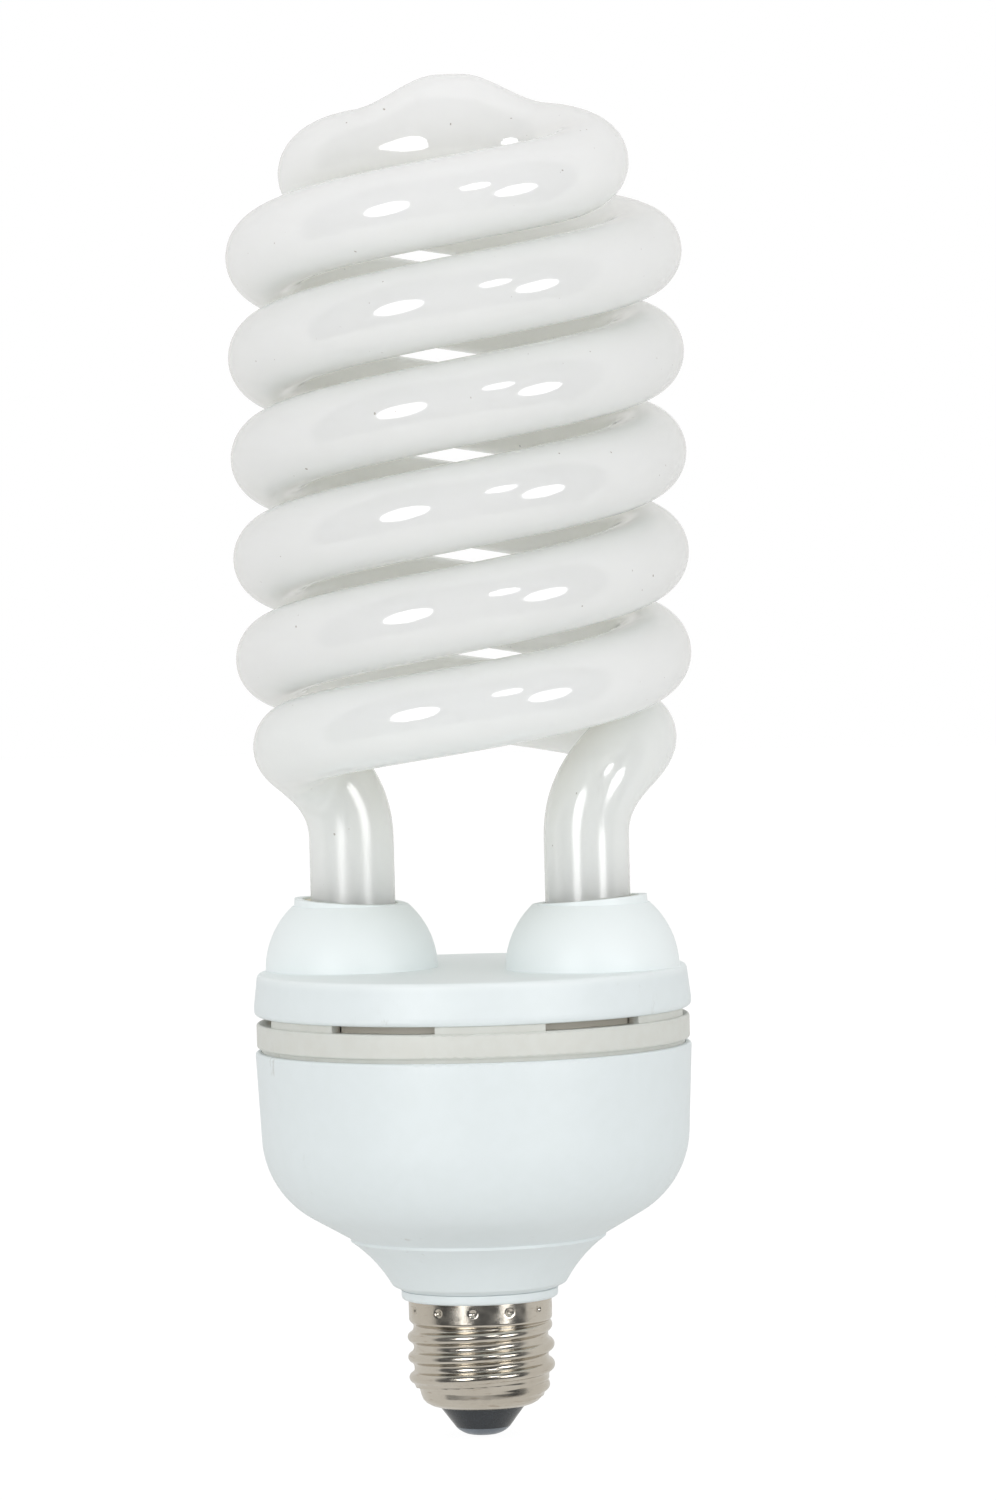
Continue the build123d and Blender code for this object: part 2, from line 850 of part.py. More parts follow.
def bulk_capacitor():
    """Electrolytic can hanging from the board into the neck."""
    can = rod((0, 0), bulk_radius, board_seat - bulk_length, board_seat)
    can = fillet(circle_at(can, bulk_radius, board_seat - bulk_length), bulk_groove_depth)
    crimp = board_seat - bulk_length / 8
    groove = Pos(0, 0, crimp) * Torus(bulk_radius + bulk_groove_depth, 2 * bulk_groove_depth)
    return can - groove + leads(pair_along_x((0, 0), bulk_lead_spacing), board_seat - 1)


def e_core(low, opens_up):
    """Half of the choke's ferrite core, an E extruded through its depth."""
    window = (e_width - e_centre_limb) / 2 - e_limb
    offset = e_centre_limb / 2 + window / 2
    cut_low = low + e_limb if opens_up else low
    body = block(choke_place, (e_depth, e_width, e_height), low)
    for side in (-1, 1):
        place = (choke_place[0], choke_place[1] + side * offset)
        body -= block(place, (e_depth, window, e_height - e_limb), cut_low)
    return body


def choke_middle():
    """Height where the two E cores meet."""
    return board_seat - e_height


def bobbin_barrel():
    """Outside half-sizes of the bobbin's barrel across and along the core."""
    return e_depth / 2 + bobbin_wall, e_centre_limb / 2 + bobbin_wall


def choke_bobbin():
    """Spool round the centre limb, with its pins."""
    reach = e_height - e_limb
    half_x, half_y = bobbin_barrel()
    flange_y = e_width - 2 * e_limb - winding_slack
    flange_x = e_depth + 2 * bobbin_overhang
    middle = choke_middle()
    spool = block(choke_place, (2 * half_x, 2 * half_y, 2 * reach), middle - reach)
    for low in (middle - reach, middle + reach - bobbin_flange):
        spool += block(choke_place, (flange_x, flange_y, bobbin_flange), low)
    spool -= block(choke_place, (e_depth, e_centre_limb, 2 * reach), middle - reach)
    return spool + leads(bobbin_leads(), middle + reach - bobbin_flange)


def choke_winding():
    """Copper winding on the bobbin."""
    reach = e_height - e_limb - bobbin_flange
    half_x, half_y = bobbin_barrel()
    size_y = e_width - 2 * e_limb - 2 * winding_slack
    size_x = 2 * half_x + (size_y - 2 * half_y)
    copper = block(choke_place, (size_x, size_y, 2 * reach), choke_middle() - reach)
    copper = fillet(copper.edges().filter_by(Axis.Z), (size_y - 2 * half_y) / 2.5)
    return copper - block(choke_place, (2 * half_x, 2 * half_y, 2 * reach), choke_middle() - reach)


def filter_inductor_core():
    """Ferrite drum with its two leads."""
    low = board_seat - drum_height
    drum = rod(drum_place, drum_radius, low, board_seat)
    room = rod(drum_place, drum_radius, low + drum_flange, board_seat - drum_flange)
    room -= rod(drum_place, drum_neck_radius, low, board_seat)
    return drum - room + leads(pair_along_x(drum_place, drum_radius), board_seat - drum_flange / 2)


def filter_inductor_winding():
    """Copper winding in the drum's waist."""
    low = board_seat - drum_height + drum_flange
    copper = rod(drum_place, drum_radius - winding_slack, low, board_seat - drum_flange)
    return copper - rod(drum_place, drum_neck_radius, low, board_seat)


def toroid_low():
    """Underside of the ring core, which hangs a winding's thickness under the board."""
    return board_seat - toroid_wire - toroid_height


def drive_transformer_core():
    """Ferrite ring."""
    core = rod(toroid_place, toroid_outer_radius, toroid_low(), toroid_low() + toroid_height)
    core -= rod(toroid_place, toroid_inner_radius, toroid_low(), toroid_low() + toroid_height)
    return core


def drive_transformer_windings():
    """Three short windings round the ring core."""
    low = toroid_low()
    high = low + toroid_height
    sleeve = tube_between(
        low - toroid_wire,
        high + toroid_wire,
        toroid_outer_radius + toroid_wire,
        toroid_inner_radius - toroid_wire,
    )
    sleeve -= tube_between(low, high, toroid_outer_radius, toroid_inner_radius)
    wedge = sector(toroid_winding_angle, low - 1, high + 1, 2 * toroid_outer_radius)
    piece = sleeve & wedge
    place = Pos(toroid_place[0], toroid_place[1], 0)
    return [place * Rot(0, 0, 120 * index) * piece for index in range(3)]


def power_transistor(place):
    """Flat transistor hanging on its three leads."""
    top = board_seat - transistor_lead
    body = block(place, transistor_size, top - transistor_size[2])
    body = chamfer(body.faces().sort_by(Axis.X)[-1].edges(), 0.4)
    return body + leads(transistor_leads(place), top - 1)


def film_capacitor(place, size):
    """Box-shaped film capacitor against the board."""
    body = block(place, size, board_seat - size[2])
    body = fillet(body.edges(), film_corner)
    return body + leads(film_leads(place, size), board_seat - 1)


def axial_part(place, body_size, span):
    """Small part that lies under the board on two bent leads."""
    radius, length = body_size
    height = board_seat - radius
    body = Pos(place[0], place[1], height) * Rot(90, 0, 0) * Cylinder(radius, length)
    body = fillet(body.edges().filter_by(GeomType.CIRCLE), radius / 3)
    first, second = axial_leads(place, span)
    top = board_top + lead_stub
    lead = wire_along(
        [(*first, top), (*first, height), (*second, height), (*second, top)], lead_radius, lead_bend_radius
    )
    return body + lead


def ptc_thermistor():
    """Disc thermistor that preheats the cathodes."""
    height = board_seat - thermistor_radius
    disc = Pos(thermistor_place[0], thermistor_place[1], height) * Rot(90, 0, 0) * Cylinder(
        thermistor_radius, thermistor_thickness
    )
    disc = fillet(disc.edges().filter_by(GeomType.CIRCLE), 0.6)
    return disc + leads(pair_along_x(thermistor_place, thermistor_spacing), height)


# Wiring


def wrap_pin(place):
    """Round pin pressed into the board, with a shoulder that seats on it."""
    low = board_seat - lead_stub
    pin = rod(place, pin_radius, low, board_top + pin_height)
    return pin + rod(place, pin_shoulder_radius, board_top, board_top + pin_shoulder_height)


def filament_lead(side_x, side_y):
    """Wire from the pressed glass, wound round its pin."""
    height = board_top + pin_height - wrap_drop
    wrap_radius = pin_radius + filament_wire
    rings = [
        Pos(*pin_place, height - wrap_pitch * index) * Torus(wrap_radius, filament_wire)
        for index in range(wrap_turns)
    ]
    start = (leg_radius, filament_lead_spacing / 2)
    run = wire_along(
        [
            (*start, pinch_bottom),
            (*start, height),
            (pin_place[0], pin_place[1] - wrap_radius, height),
        ],
        filament_wire,
        lead_bend_radius,
    )
    lead = run + rings
    if side_x < 0:
        lead = mirror(lead, about=Plane.YZ)
    if side_y < 0:
        lead = mirror(lead, about=Plane.XZ)
    return lead


def centre_lead():
    """Wire from the centre contact up to the fusible resistor."""
    return rod((0, 0), lead_radius, contact_height, fuse_bottom)


def fusible_resistor():
    """Resistor in the neck of the lamp on the way from the centre contact."""
    body = rod((0, 0), fuse_radius, fuse_bottom, fuse_bottom + fuse_length)
    return fillet(body.edges().filter_by(GeomType.CIRCLE), fuse_radius / 3)


def live_lead():
    """Insulated wire from the fusible resistor round the capacitor to the board."""
    start = fuse_bottom + fuse_length
    turn = (start + board_seat - bulk_length) / 2
    out = polar(live_lead_offset, live_lead_turn, 0)
    points = [(0, 0, start), (0, 0, turn), (out.X, out.Y, turn), (out.X, out.Y, board_top + lead_stub)]
    return wire_along(points, live_lead_radius, 2 * live_lead_radius)


def shell_lead():
    """Bare wire from the board, turned round the end of the spigot and held against the shell."""
    inside = polar(shell_lead_offset, shell_lead_turn, 0)
    outside = polar(spigot_lower_radius - shell_lead_radius, shell_lead_turn, 0)
    low = spigot_bottom - shell_lead_loop
    points = [
        (inside.X, inside.Y, board_top + lead_stub),
        (inside.X, inside.Y, low),
        (outside.X, outside.Y, low),
        (outside.X, outside.Y, spigot_bottom + shell_lead_rise),
    ]
    return wire_along(points, shell_lead_radius, lead_bend_radius)


def make_parts():
    """Every sub-part of the lamp by name."""
    outer_form = cap_form(0)
    inner_form = cap_form(cap_sheet)
    middle = choke_middle()
    return {
        "discharge_tube": [discharge_tube()],
        "tube_cement_left": [tube_cement(180)],
        "tube_cement_right": [tube_cement(0)],
        "tube_cover": [tube_cover()],
        "vent_ring": [vent_ring()],
        "ballast_housing": [ballast_housing()],
        "screw_shell": [screw_shell(outer_form, inner_form)],
        "cap_insulator": [cap_insulator(inner_form)],
        "centre_contact": [centre_contact()],
        "circuit_board": [circuit_board()],
        "bulk_capacitor": [bulk_capacitor()],
        "choke_core_upper": [e_core(middle, False)],
        "choke_core_lower": [e_core(middle - e_height, True)],
        "choke_bobbin": [choke_bobbin()],
        "choke_winding": [choke_winding()],
        "filter_inductor_core": [filter_inductor_core()],
        "filter_inductor_winding": [filter_inductor_winding()],
        "drive_transformer_core": [drive_transformer_core()],
        "drive_transformer_windings": drive_transformer_windings(),
        "power_transistors": [power_transistor(place) for place in transistor_places],
        "resonant_capacitor": [film_capacitor(resonant_place, resonant_size)],
        "blocking_capacitor": [film_capacitor(blocking_place, blocking_size)],
        "rectifier_diodes": [axial_part(place, diode_body, diode_span) for place in diode_places],
        "resistors": [axial_part(place, resistor_body, resistor_span) for place in resistor_places],
        "trigger_diode": [axial_part(trigger_place, trigger_body, trigger_span)],
        "ptc_thermistor": [ptc_thermistor()],
        "wrap_pins": [wrap_pin(place) for place in pin_places()],
        "filament_leads": [filament_lead(side_x, side_y) for side_x in (-1, 1) for side_y in (-1, 1)],
        "centre_lead": [centre_lead()],
        "fusible_resistor": [fusible_resistor()],
        "live_lead": [live_lead()],
        "shell_lead": [shell_lead()],
    }


def main():
    """Write one STEP file for each sub-part."""
    os.makedirs("parts", exist_ok=True)
    for name, shapes in make_parts().items():
        solids = [solid for shape in shapes for solid in shape.solids()]
        whole = solids[0] if len(solids) == 1 else Compound(children=solids)
        whole.label = name
        export_step(whole, f"parts/{name}.step")
        print(name, len(solids))


main()
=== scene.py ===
# %% [markdown]
# # A spiral lamp on a white ground
#
# The lamp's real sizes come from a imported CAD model, which is loaded first and never moved.
# Each cell below adds one piece or one finish to it.
# Lengths of the lamp are written in millimetres, and MM turns them into metres. The studio is in metres.

# %% Load the model
import math

import bmesh
import bpy
import numpy as np
from mathutils import Matrix, Vector


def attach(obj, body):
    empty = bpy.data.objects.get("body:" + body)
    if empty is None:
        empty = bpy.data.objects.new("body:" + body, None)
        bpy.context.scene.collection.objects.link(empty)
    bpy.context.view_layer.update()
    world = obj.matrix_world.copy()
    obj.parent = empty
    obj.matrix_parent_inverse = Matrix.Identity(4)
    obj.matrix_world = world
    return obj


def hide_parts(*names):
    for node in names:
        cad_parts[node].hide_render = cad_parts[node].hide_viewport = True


MM = 0.001
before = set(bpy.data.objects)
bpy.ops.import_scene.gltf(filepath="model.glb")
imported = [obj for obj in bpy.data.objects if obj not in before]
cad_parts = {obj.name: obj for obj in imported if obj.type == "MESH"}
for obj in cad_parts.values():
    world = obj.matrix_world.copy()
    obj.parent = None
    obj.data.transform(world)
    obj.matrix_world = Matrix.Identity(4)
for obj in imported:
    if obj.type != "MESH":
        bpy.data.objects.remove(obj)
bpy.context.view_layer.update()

# %% [markdown]
# ## Helpers for node trees
#
# A material and a Geometry Nodes tree are both graphs of nodes joined by links.
# Drawing them by hand takes many lines, so small helpers add a node, a sum, a ramp or a blend of two colours.
# An input is either a plain value or another node's output, and the helper links or sets it.

# %% Node helpers
def add(tree, kind, inputs=None, **settings):
    """Add one node to a tree and fill its inputs."""
    node = tree.nodes.new(kind)
    for name, value in settings.items():
        setattr(node, name, value)
    for name, value in (inputs or {}).items():
        if isinstance(value, bpy.types.NodeSocket):
            tree.links.new(value, node.inputs[name])
        else:
            node.inputs[name].default_value = value
    return node


def calc(tree, operation, *values, clamp=False):
    """Output of one Math node."""
    node = add(tree, "ShaderNodeMath", dict(enumerate(values)), operation=operation, use_clamp=clamp)
    return node.outputs[0]


def ramp(tree, value, low, high, start=0.0, end=1.0):
    """A value that goes softly from start to end while another goes from low to high."""
    node = add(
        tree,
        "ShaderNodeMapRange",
        {"Value": value, "From Min": low, "From Max": high, "To Min": start, "To Max": end},
        interpolation_type="SMOOTHSTEP",
    )
    return node.outputs["Result"]


def blend(tree, share, first, second):
    """Colour between two colours."""
    node = add(tree, "ShaderNodeMix", {0: share, 6: first, 7: second}, data_type="RGBA")
    return node.outputs[2]


print("node helpers ready")

# %% [markdown]
# ## Helpers for pieces made by a tree
#
# A Geometry Nodes tree is a recipe: it takes a starting shape and named sizes, and gives the finished shape.
# A modifier runs the recipe on an object.
# Each size is set through its socket's identifier, before the first run.
# The result is then copied into a plain mesh, so that the finished piece needs no modifier.

# %% Tree helpers
def new_tree(name, **sizes):
    """Empty recipe with a shape input, a shape output and one named number for each size."""
    tree = bpy.data.node_groups.new(name, "GeometryNodeTree")
    tree.interface.new_socket("Shape", in_out="INPUT", socket_type="NodeSocketGeometry")
    for label, value in sizes.items():
        kind = "NodeSocketInt" if isinstance(value, int) else "NodeSocketFloat"
        tree.interface.new_socket(label, in_out="INPUT", socket_type=kind).default_value = value
    tree.interface.new_socket("Shape", in_out="OUTPUT", socket_type="NodeSocketGeometry")
    return tree, tree.nodes.new("NodeGroupInput").outputs


def close_tree(tree, shape, material):
    """Last nodes of a recipe: real copies, then the finish."""
    real = add(tree, "GeometryNodeRealizeInstances", {"Geometry": shape}).outputs[0]
    painted = add(tree, "GeometryNodeSetMaterial", {"Geometry": real, "Material": material})
    add(tree, "NodeGroupOutput", {"Shape": painted.outputs[0]})


def put(name, mesh):
    """Object of that name at the origin, holding the mesh."""
    piece = bpy.data.objects.new(name, mesh)
    bpy.context.scene.collection.objects.link(piece)
    return piece


def grow(name, start, tree, **sizes):
    """Plain piece that a recipe makes from a starting mesh and sizes."""
    seed = put(name + "_start", start)
    modifier = seed.modifiers.new("recipe", "NODES")
    modifier.node_group = tree
    for item in tree.interface.items_tree:
        if item.in_out == "INPUT" and item.name in sizes:
            modifier[item.identifier] = sizes[item.name]
    graph = bpy.context.evaluated_depsgraph_get()
    mesh = bpy.data.meshes.new_from_object(seed.evaluated_get(graph))
    bpy.data.objects.remove(seed)
    piece = put(name, mesh)
    print(name, len(mesh.vertices), "points,", len(mesh.polygons), "faces")
    return piece


def fit(piece, slot, *nodes):
    """Join a piece to the lamp: it rides on the one body and stands for these nodes."""
    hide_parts(*nodes)
    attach(piece, "root")


print("tree helpers ready")

# %% [markdown]
# ## A finish that is never one flat colour
#
# Every real surface is a little uneven. Its colour drifts, its gloss changes and it has a fine relief.
# The helper starts each finish the same way: two close colours mixed by a soft noise,
# a roughness that moves between two values, and a bump from a finer noise.
# Object coordinates keep the pattern fixed to the piece, in real metres.

# %% Finish helper
def finish(name, light, dark, rough, grain, relief, metallic=0.0, ior=1.5):
    """Material with drifting colour, drifting gloss and a fine relief; grain is the relief's size in mm."""
    material = bpy.data.materials.new(name)
    material.use_nodes = True
    tree = material.node_tree
    tree.nodes.clear()
    place = add(tree, "ShaderNodeTexCoord").outputs["Object"]
    drift = add(
        tree,
        "ShaderNodeTexNoise",
        {"Vector": place, "Scale": 0.12 / (grain * MM), "Detail": 3.0},
    ).outputs["Fac"]
    fine = add(
        tree,
        "ShaderNodeTexNoise",
        {"Vector": place, "Scale": 1.0 / (grain * MM), "Detail": 4.0},
    ).outputs["Fac"]
    colour = blend(tree, ramp(tree, drift, 0.3, 0.7), (*light, 1.0), (*dark, 1.0))
    gloss = ramp(tree, fine, 0.3, 0.7, rough[0], rough[1])
    bump = add(
        tree,
        "ShaderNodeBump",
        {"Height": fine, "Strength": 1.0, "Distance": relief * MM},
    ).outputs[0]
    shader = add(
        tree,
        "ShaderNodeBsdfPrincipled",
        {
            "Base Color": colour,
            "Roughness": gloss,
            "Normal": bump,
            "Metallic": metallic,
            "IOR": ior,
        },
    )
    add(tree, "ShaderNodeOutputMaterial", {"Surface": shader.outputs[0]})
    return material, tree, shader, place, colour


print("finish helper ready")

# %% [markdown]
# ## Milky glass
#
# The tube is clear glass, coated inside with a white powder that hides everything behind it.
# The eye sees a matt white under a very smooth, glossy skin.
# Near the feet the coat is thin, so the legs look greyer than the coil, and handling has left them duller.
# Ramps on the height give those changes, and a sparse noise gives the few specks that the coat has.
# On the inner side of the coil a lighter, warmer colour is painted, a painted light for what bounces and
# shines through the hollow; the normal against the axis picks that side.
# The powder scatters light and lets some of it through, so the hollow of the coil stays bright.
# Subsurface scattering over a few centimetres gives that, a little warmer the further the light has gone.

# %% Milky glass finish
LEG_GREY_FROM = 100.0
LEG_GREY_TO = 142.0
LEG_DULL_FROM = 102.0
LEG_DULL_TO = 136.0
SIDE_REACH = 12.0
DULL_LEFT = 0.23
DULL_RIGHT = 0.15
SKIN_IOR = 1.75
SCATTER_REACH = 40.0
# Painted light: the lighter, warmer colour of the inner side of the coil.
PAINTED_HOLLOW_LIGHT = (0.975, 0.97, 0.885, 1.0)
LEG_COAT = (0.755, 0.785, 0.76, 1.0)
SPECK_COLOUR = (0.45, 0.44, 0.40, 1.0)

milky_glass, tree, shader, place, colour = finish(
    "milky_glass", (0.915, 0.972, 0.945), (0.905, 0.963, 0.936), (0.02, 0.04), 40.0, 0.01
)
part = add(tree, "ShaderNodeSeparateXYZ", {"Vector": place}).outputs
normal = add(tree, "ShaderNodeTexCoord").outputs["Normal"]
away = add(tree, "ShaderNodeCombineXYZ", {"X": part["X"], "Y": part["Y"]}).outputs[0]
away = add(tree, "ShaderNodeVectorMath", {0: away}, operation="NORMALIZE").outputs[0]
outward = add(tree, "ShaderNodeVectorMath", {0: normal, 1: away}, operation="DOT_PRODUCT").outputs["Value"]
# Painted light: the inner side of the coil is painted lighter and warmer.
colour = blend(tree, ramp(tree, outward, -0.5, 0.35), PAINTED_HOLLOW_LIGHT, colour)
coat = ramp(tree, part["Z"], LEG_GREY_FROM * MM, LEG_GREY_TO * MM)
colour = blend(tree, coat, LEG_COAT, colour)
speck = add(tree, "ShaderNodeTexNoise", {"Vector": place, "Scale": 900.0, "Detail": 1.0}).outputs["Fac"]
colour = blend(tree, ramp(tree, speck, 0.79, 0.83), colour, SPECK_COLOUR)
tree.links.new(colour, shader.inputs["Base Color"])

gloss = shader.inputs["Roughness"].links[0].from_socket
dull = ramp(tree, part["Z"], LEG_DULL_FROM * MM, LEG_DULL_TO * MM, 1.0, 0.0)
most = ramp(tree, part["X"], -SIDE_REACH * MM, SIDE_REACH * MM, DULL_LEFT, DULL_RIGHT)
dull = calc(tree, "MULTIPLY", dull, most)
tree.links.new(calc(tree, "ADD", gloss, dull), shader.inputs["Roughness"])
shader.inputs["IOR"].default_value = SKIN_IOR
shader.inputs["Subsurface Weight"].default_value = 1.0
shader.inputs["Subsurface Radius"].default_value = (1.0, 1.0, 0.96)
shader.inputs["Subsurface Scale"].default_value = SCATTER_REACH * MM
print("milky glass ready")

# %% [markdown]
# ## Sizes of the glass
#
# The glass is one tube with two equal strands. A strand rises straight out of its collar,
# bends outwards into a regular helix, makes two turns, turns back tightly and crosses the middle.
# The helix needs only a radius, a pitch and a number of turns.
# Only the bends need listed points, as shares of the way out and of the rise.

# %% Sizes of the glass
TUBE_DIAMETER = 15.2
LEG_RADIUS = 21.84
LEG_BOTTOM = 84.0
PINCH_LENGTH = 12.0
PINCH_WIDTH = 17.0
PINCH_THICKNESS = 3.6
BEND_START = 107.0
COIL_RADIUS = 33.05
COIL_PITCH = 35.775
COIL_TURNS = 2.0
COIL_BOTTOM = 139.65
COIL_TOP = COIL_BOTTOM + COIL_PITCH * COIL_TURNS
COIL_START_TURN = 196.0
CROWN_RISE = 19.2
ROUTE_STEP = 1.25

# Degrees round the axis, share of the way out from the leg, share of the rise
LOWER_BEND = [
    (0.5, 0.068, 0.168),
    (4.0, 0.282, 0.325),
    (13.0, 0.585, 0.453),
    (31.0, 0.835, 0.539),
    (61.0, 0.942, 0.625),
    (106.0, 0.987, 0.741),
    (151.0, 1.0, 0.867),
]

# Degrees past the coil, share of the coil's radius, share of the rise
CROWN_BEND = [
    (40.0, 0.989, 0.205),
    (80.0, 0.955, 0.395),
    (118.0, 0.905, 0.575),
    (138.0, 0.878, 0.690),
    (149.0, 0.835, 0.785),
    (158.0, 0.730, 0.885),
    (166.0, 0.560, 0.965),
    (172.0, 0.370, 0.993),
    (176.5, 0.185, 1.0),
]
print("coil from", COIL_BOTTOM, "to", COIL_TOP, "mm")

# %% [markdown]
# ## Smooth runs
#
# A bent glass tube has no kinks, because it sags evenly while it is hot.
# Straight pieces or arcs between the points would show as steps in the reflections.
# A clamped cubic spline runs through the points instead.
# At both ends it takes the heading of the stretch that it joins.

# %% Points and splines
def polar(radius, turn, height):
    """Point at a radius, a turn in degrees and a height."""
    angle = math.radians(turn)
    return np.array([radius * math.cos(angle), radius * math.sin(angle), height])


def coil_heading(turn):
    """Direction of the regular coil at a turn."""
    angle = math.radians(turn)
    lead = COIL_PITCH / (2 * math.pi)
    heading = np.array([-math.sin(angle) * COIL_RADIUS, math.cos(angle) * COIL_RADIUS, lead])
    return heading / np.linalg.norm(heading)


def spread(first, last, step):
    """Evenly spaced values from first, about a step apart, without last."""
    return np.linspace(first, last, max(1, round((last - first) / step)), endpoint=False)


def smooth_run(points, first, last):
    """Evenly spaced points of a cubic spline through points, with a heading at each end."""
    points = np.array(points)
    gaps = np.linalg.norm(np.diff(points, axis=0), axis=1)
    slopes = np.diff(points, axis=0) / gaps[:, None]
    count = len(points)
    system = np.zeros((count, count))
    target = np.zeros((count, 3))
    for k in range(1, count - 1):
        system[k, k - 1 : k + 2] = gaps[k - 1], 2 * (gaps[k - 1] + gaps[k]), gaps[k]
        target[k] = 6 * (slopes[k] - slopes[k - 1])
    system[0, :2] = 2 * gaps[0], gaps[0]
    system[-1, -2:] = gaps[-1], 2 * gaps[-1]
    target[0] = 6 * (slopes[0] - first)
    target[-1] = 6 * (last - slopes[-1])
    curl = np.linalg.solve(system, target)
    run = []
    for k, gap in enumerate(gaps):
        for b in spread(0, 1, ROUTE_STEP / gap):
            a = 1 - b
            sag = (a**3 - a) * curl[k] + (b**3 - b) * curl[k + 1]
            run.append(a * points[k] + b * points[k + 1] + sag * gap**2 / 6)
    return run


print("spline helpers ready")

# %% [markdown]
# ## The centreline of the glass
#
# One strand is enough, because the lamp is the same when it is turned half round.
# The second strand is the first one with X and Y turned over, and the middle point joins them.

# %% Centreline
OPPOSITE = (-1, -1, 1)


def strand():
    """Centreline of one strand, from its sealed foot up to the middle of the crown."""
    foot = LEG_BOTTOM - PINCH_LENGTH
    leg = [np.array([LEG_RADIUS, 0, height]) for height in spread(foot, BEND_START, ROUTE_STEP)]
    out = COIL_RADIUS - LEG_RADIUS
    rise = COIL_BOTTOM - BEND_START
    bend = [np.array([LEG_RADIUS, 0, BEND_START])]
    bend += [polar(LEG_RADIUS + share * out, turn, BEND_START + up * rise) for turn, share, up in LOWER_BEND]
    bend.append(polar(COIL_RADIUS, COIL_START_TURN, COIL_BOTTOM))
    bend = smooth_run(bend, np.array([0, 0, 1.0]), coil_heading(COIL_START_TURN))
    turns = spread(0, COIL_TURNS * 360, math.degrees(ROUTE_STEP / COIL_RADIUS))
    coil = [
        polar(COIL_RADIUS, COIL_START_TURN + turn, COIL_BOTTOM + COIL_PITCH * turn / 360)
        for turn in turns
    ]
    last_turn = COIL_START_TURN + COIL_TURNS * 360
    near = [polar(COIL_RADIUS, last_turn, COIL_TOP)]
    near += [
        polar(share * COIL_RADIUS, last_turn + turn, COIL_TOP + up * CROWN_RISE)
        for turn, share, up in CROWN_BEND
    ]
    far = [point * OPPOSITE for point in reversed(near)]
    heading = coil_heading(last_turn)
    over = near + [np.array([0, 0, COIL_TOP + CROWN_RISE])] + far
    crown = smooth_run(over, heading, heading * (1, 1, -1))
    return leg + bend + coil + crown[: len(crown) // 2]


near_half = strand()
far_half = [point * OPPOSITE for point in reversed(near_half)]
crown_middle = [np.array([0, 0, COIL_TOP + CROWN_RISE])]
route = [Vector(point) * MM for point in near_half + crown_middle + far_half]
print(len(route), "points, strand length", round(ROUTE_STEP * len(near_half)), "mm")

# %% [markdown]
# ## The blown bulb of the crown
#
# Over the middle the glass is blown out into a low bulb, the coolest spot, where the mercury gathers.
# A separate ball would leave a seam, so the tube itself is pushed out there.
# The upper half of the crossing rises and its sides swell, by a share that fades out away from the axis.

# %% Blown bulb
CROSSING_HEIGHT = COIL_TOP + CROWN_RISE
CROSSING_TURN = 14.0
BULB_RISE = 5.2
BULB_SWELL = 1.8
BULB_FLAT = 2.0
BULB_REACH = 17.5


def bulb_offset(tree, size, place, part):
    """How far each point of the crossing moves to form the blown bulb over the middle."""
    away = add(tree, "ShaderNodeVectorMath", {0: place, 1: (1.0, 1.0, 0.0)}, operation="MULTIPLY").outputs[0]
    reach = add(tree, "ShaderNodeVectorMath", {0: away}, operation="LENGTH").outputs["Value"]
    share = ramp(tree, reach, BULB_FLAT * MM, BULB_REACH * MM, 1.0, 0.0)
    turn = math.radians(CROSSING_TURN)
    across = (-math.sin(turn), math.cos(turn), 0.0)
    side = add(tree, "ShaderNodeVectorMath", {0: place, 1: across}, operation="DOT_PRODUCT").outputs["Value"]
    above = calc(tree, "SUBTRACT", part["Z"], CROSSING_HEIGHT * MM)
    above = calc(tree, "MAXIMUM", above, 0.0)
    swell = calc(tree, "MULTIPLY", calc(tree, "MULTIPLY", side, share), size["Bulb_swell"])
    lift = calc(tree, "MULTIPLY", calc(tree, "MULTIPLY", above, share), size["Bulb_rise"])
    flat = add(tree, "ShaderNodeVectorMath", {0: across, "Scale": swell}, operation="SCALE").outputs[0]
    rise = add(tree, "ShaderNodeCombineXYZ", {"Z": lift}).outputs[0]
    return add(tree, "ShaderNodeVectorMath", {0: flat, 1: rise}, operation="ADD").outputs[0]


print("bulb rises", BULB_RISE, "mm over the crossing at", round(CROSSING_HEIGHT, 1), "mm")

# %% [markdown]
# ## The pressed feet
#
# The glass worker presses each foot flat while it is soft, which seals the wires in.
# Cutting the tube and adding a plate would lose the soft shoulder between the two,
# so each point of the foot moves towards the middle of its leg one way and away from it the other.

# %% Pressed feet
FOOT_TOP = LEG_BOTTOM * MM


def pressed_place(tree, size, part):
    """Where each point of a foot lies once the foot is pressed flat."""
    drop = calc(tree, "DIVIDE", calc(tree, "SUBTRACT", size["Foot_top"], part["Z"]), size["Press_height"])
    press = ramp(tree, drop, 0.0, 1.0)
    middle = calc(tree, "MULTIPLY", calc(tree, "SIGN", part["X"]), size["Leg_radius"])
    thin = calc(tree, "MULTIPLY_ADD", press, calc(tree, "SUBTRACT", size["Press_thickness"], 1.0), 1.0)
    wide = calc(tree, "MULTIPLY_ADD", press, calc(tree, "SUBTRACT", size["Press_width"], 1.0), 1.0)
    across = calc(tree, "MULTIPLY", calc(tree, "SUBTRACT", part["X"], middle), thin)
    return add(
        tree,
        "ShaderNodeCombineXYZ",
        {
            "X": calc(tree, "ADD", middle, across),
            "Y": calc(tree, "MULTIPLY", part["Y"], wide),
            "Z": part["Z"],
        },
    ).outputs[0]


print("feet", PINCH_WIDTH, "by", PINCH_THICKNESS, "mm")

# %% [markdown]
# ## The glass tube
#
# A recipe sweeps a circle along the centreline, moves the points of the feet and of the crown,
# and adds the small stub that is left of the pump tube under the left foot.
# A sweep keeps the tube equally thick everywhere, which a modelled spiral would not.

# %% Glass tube
NIB_RADIUS = 1.5
NIB_LENGTH = 2.6


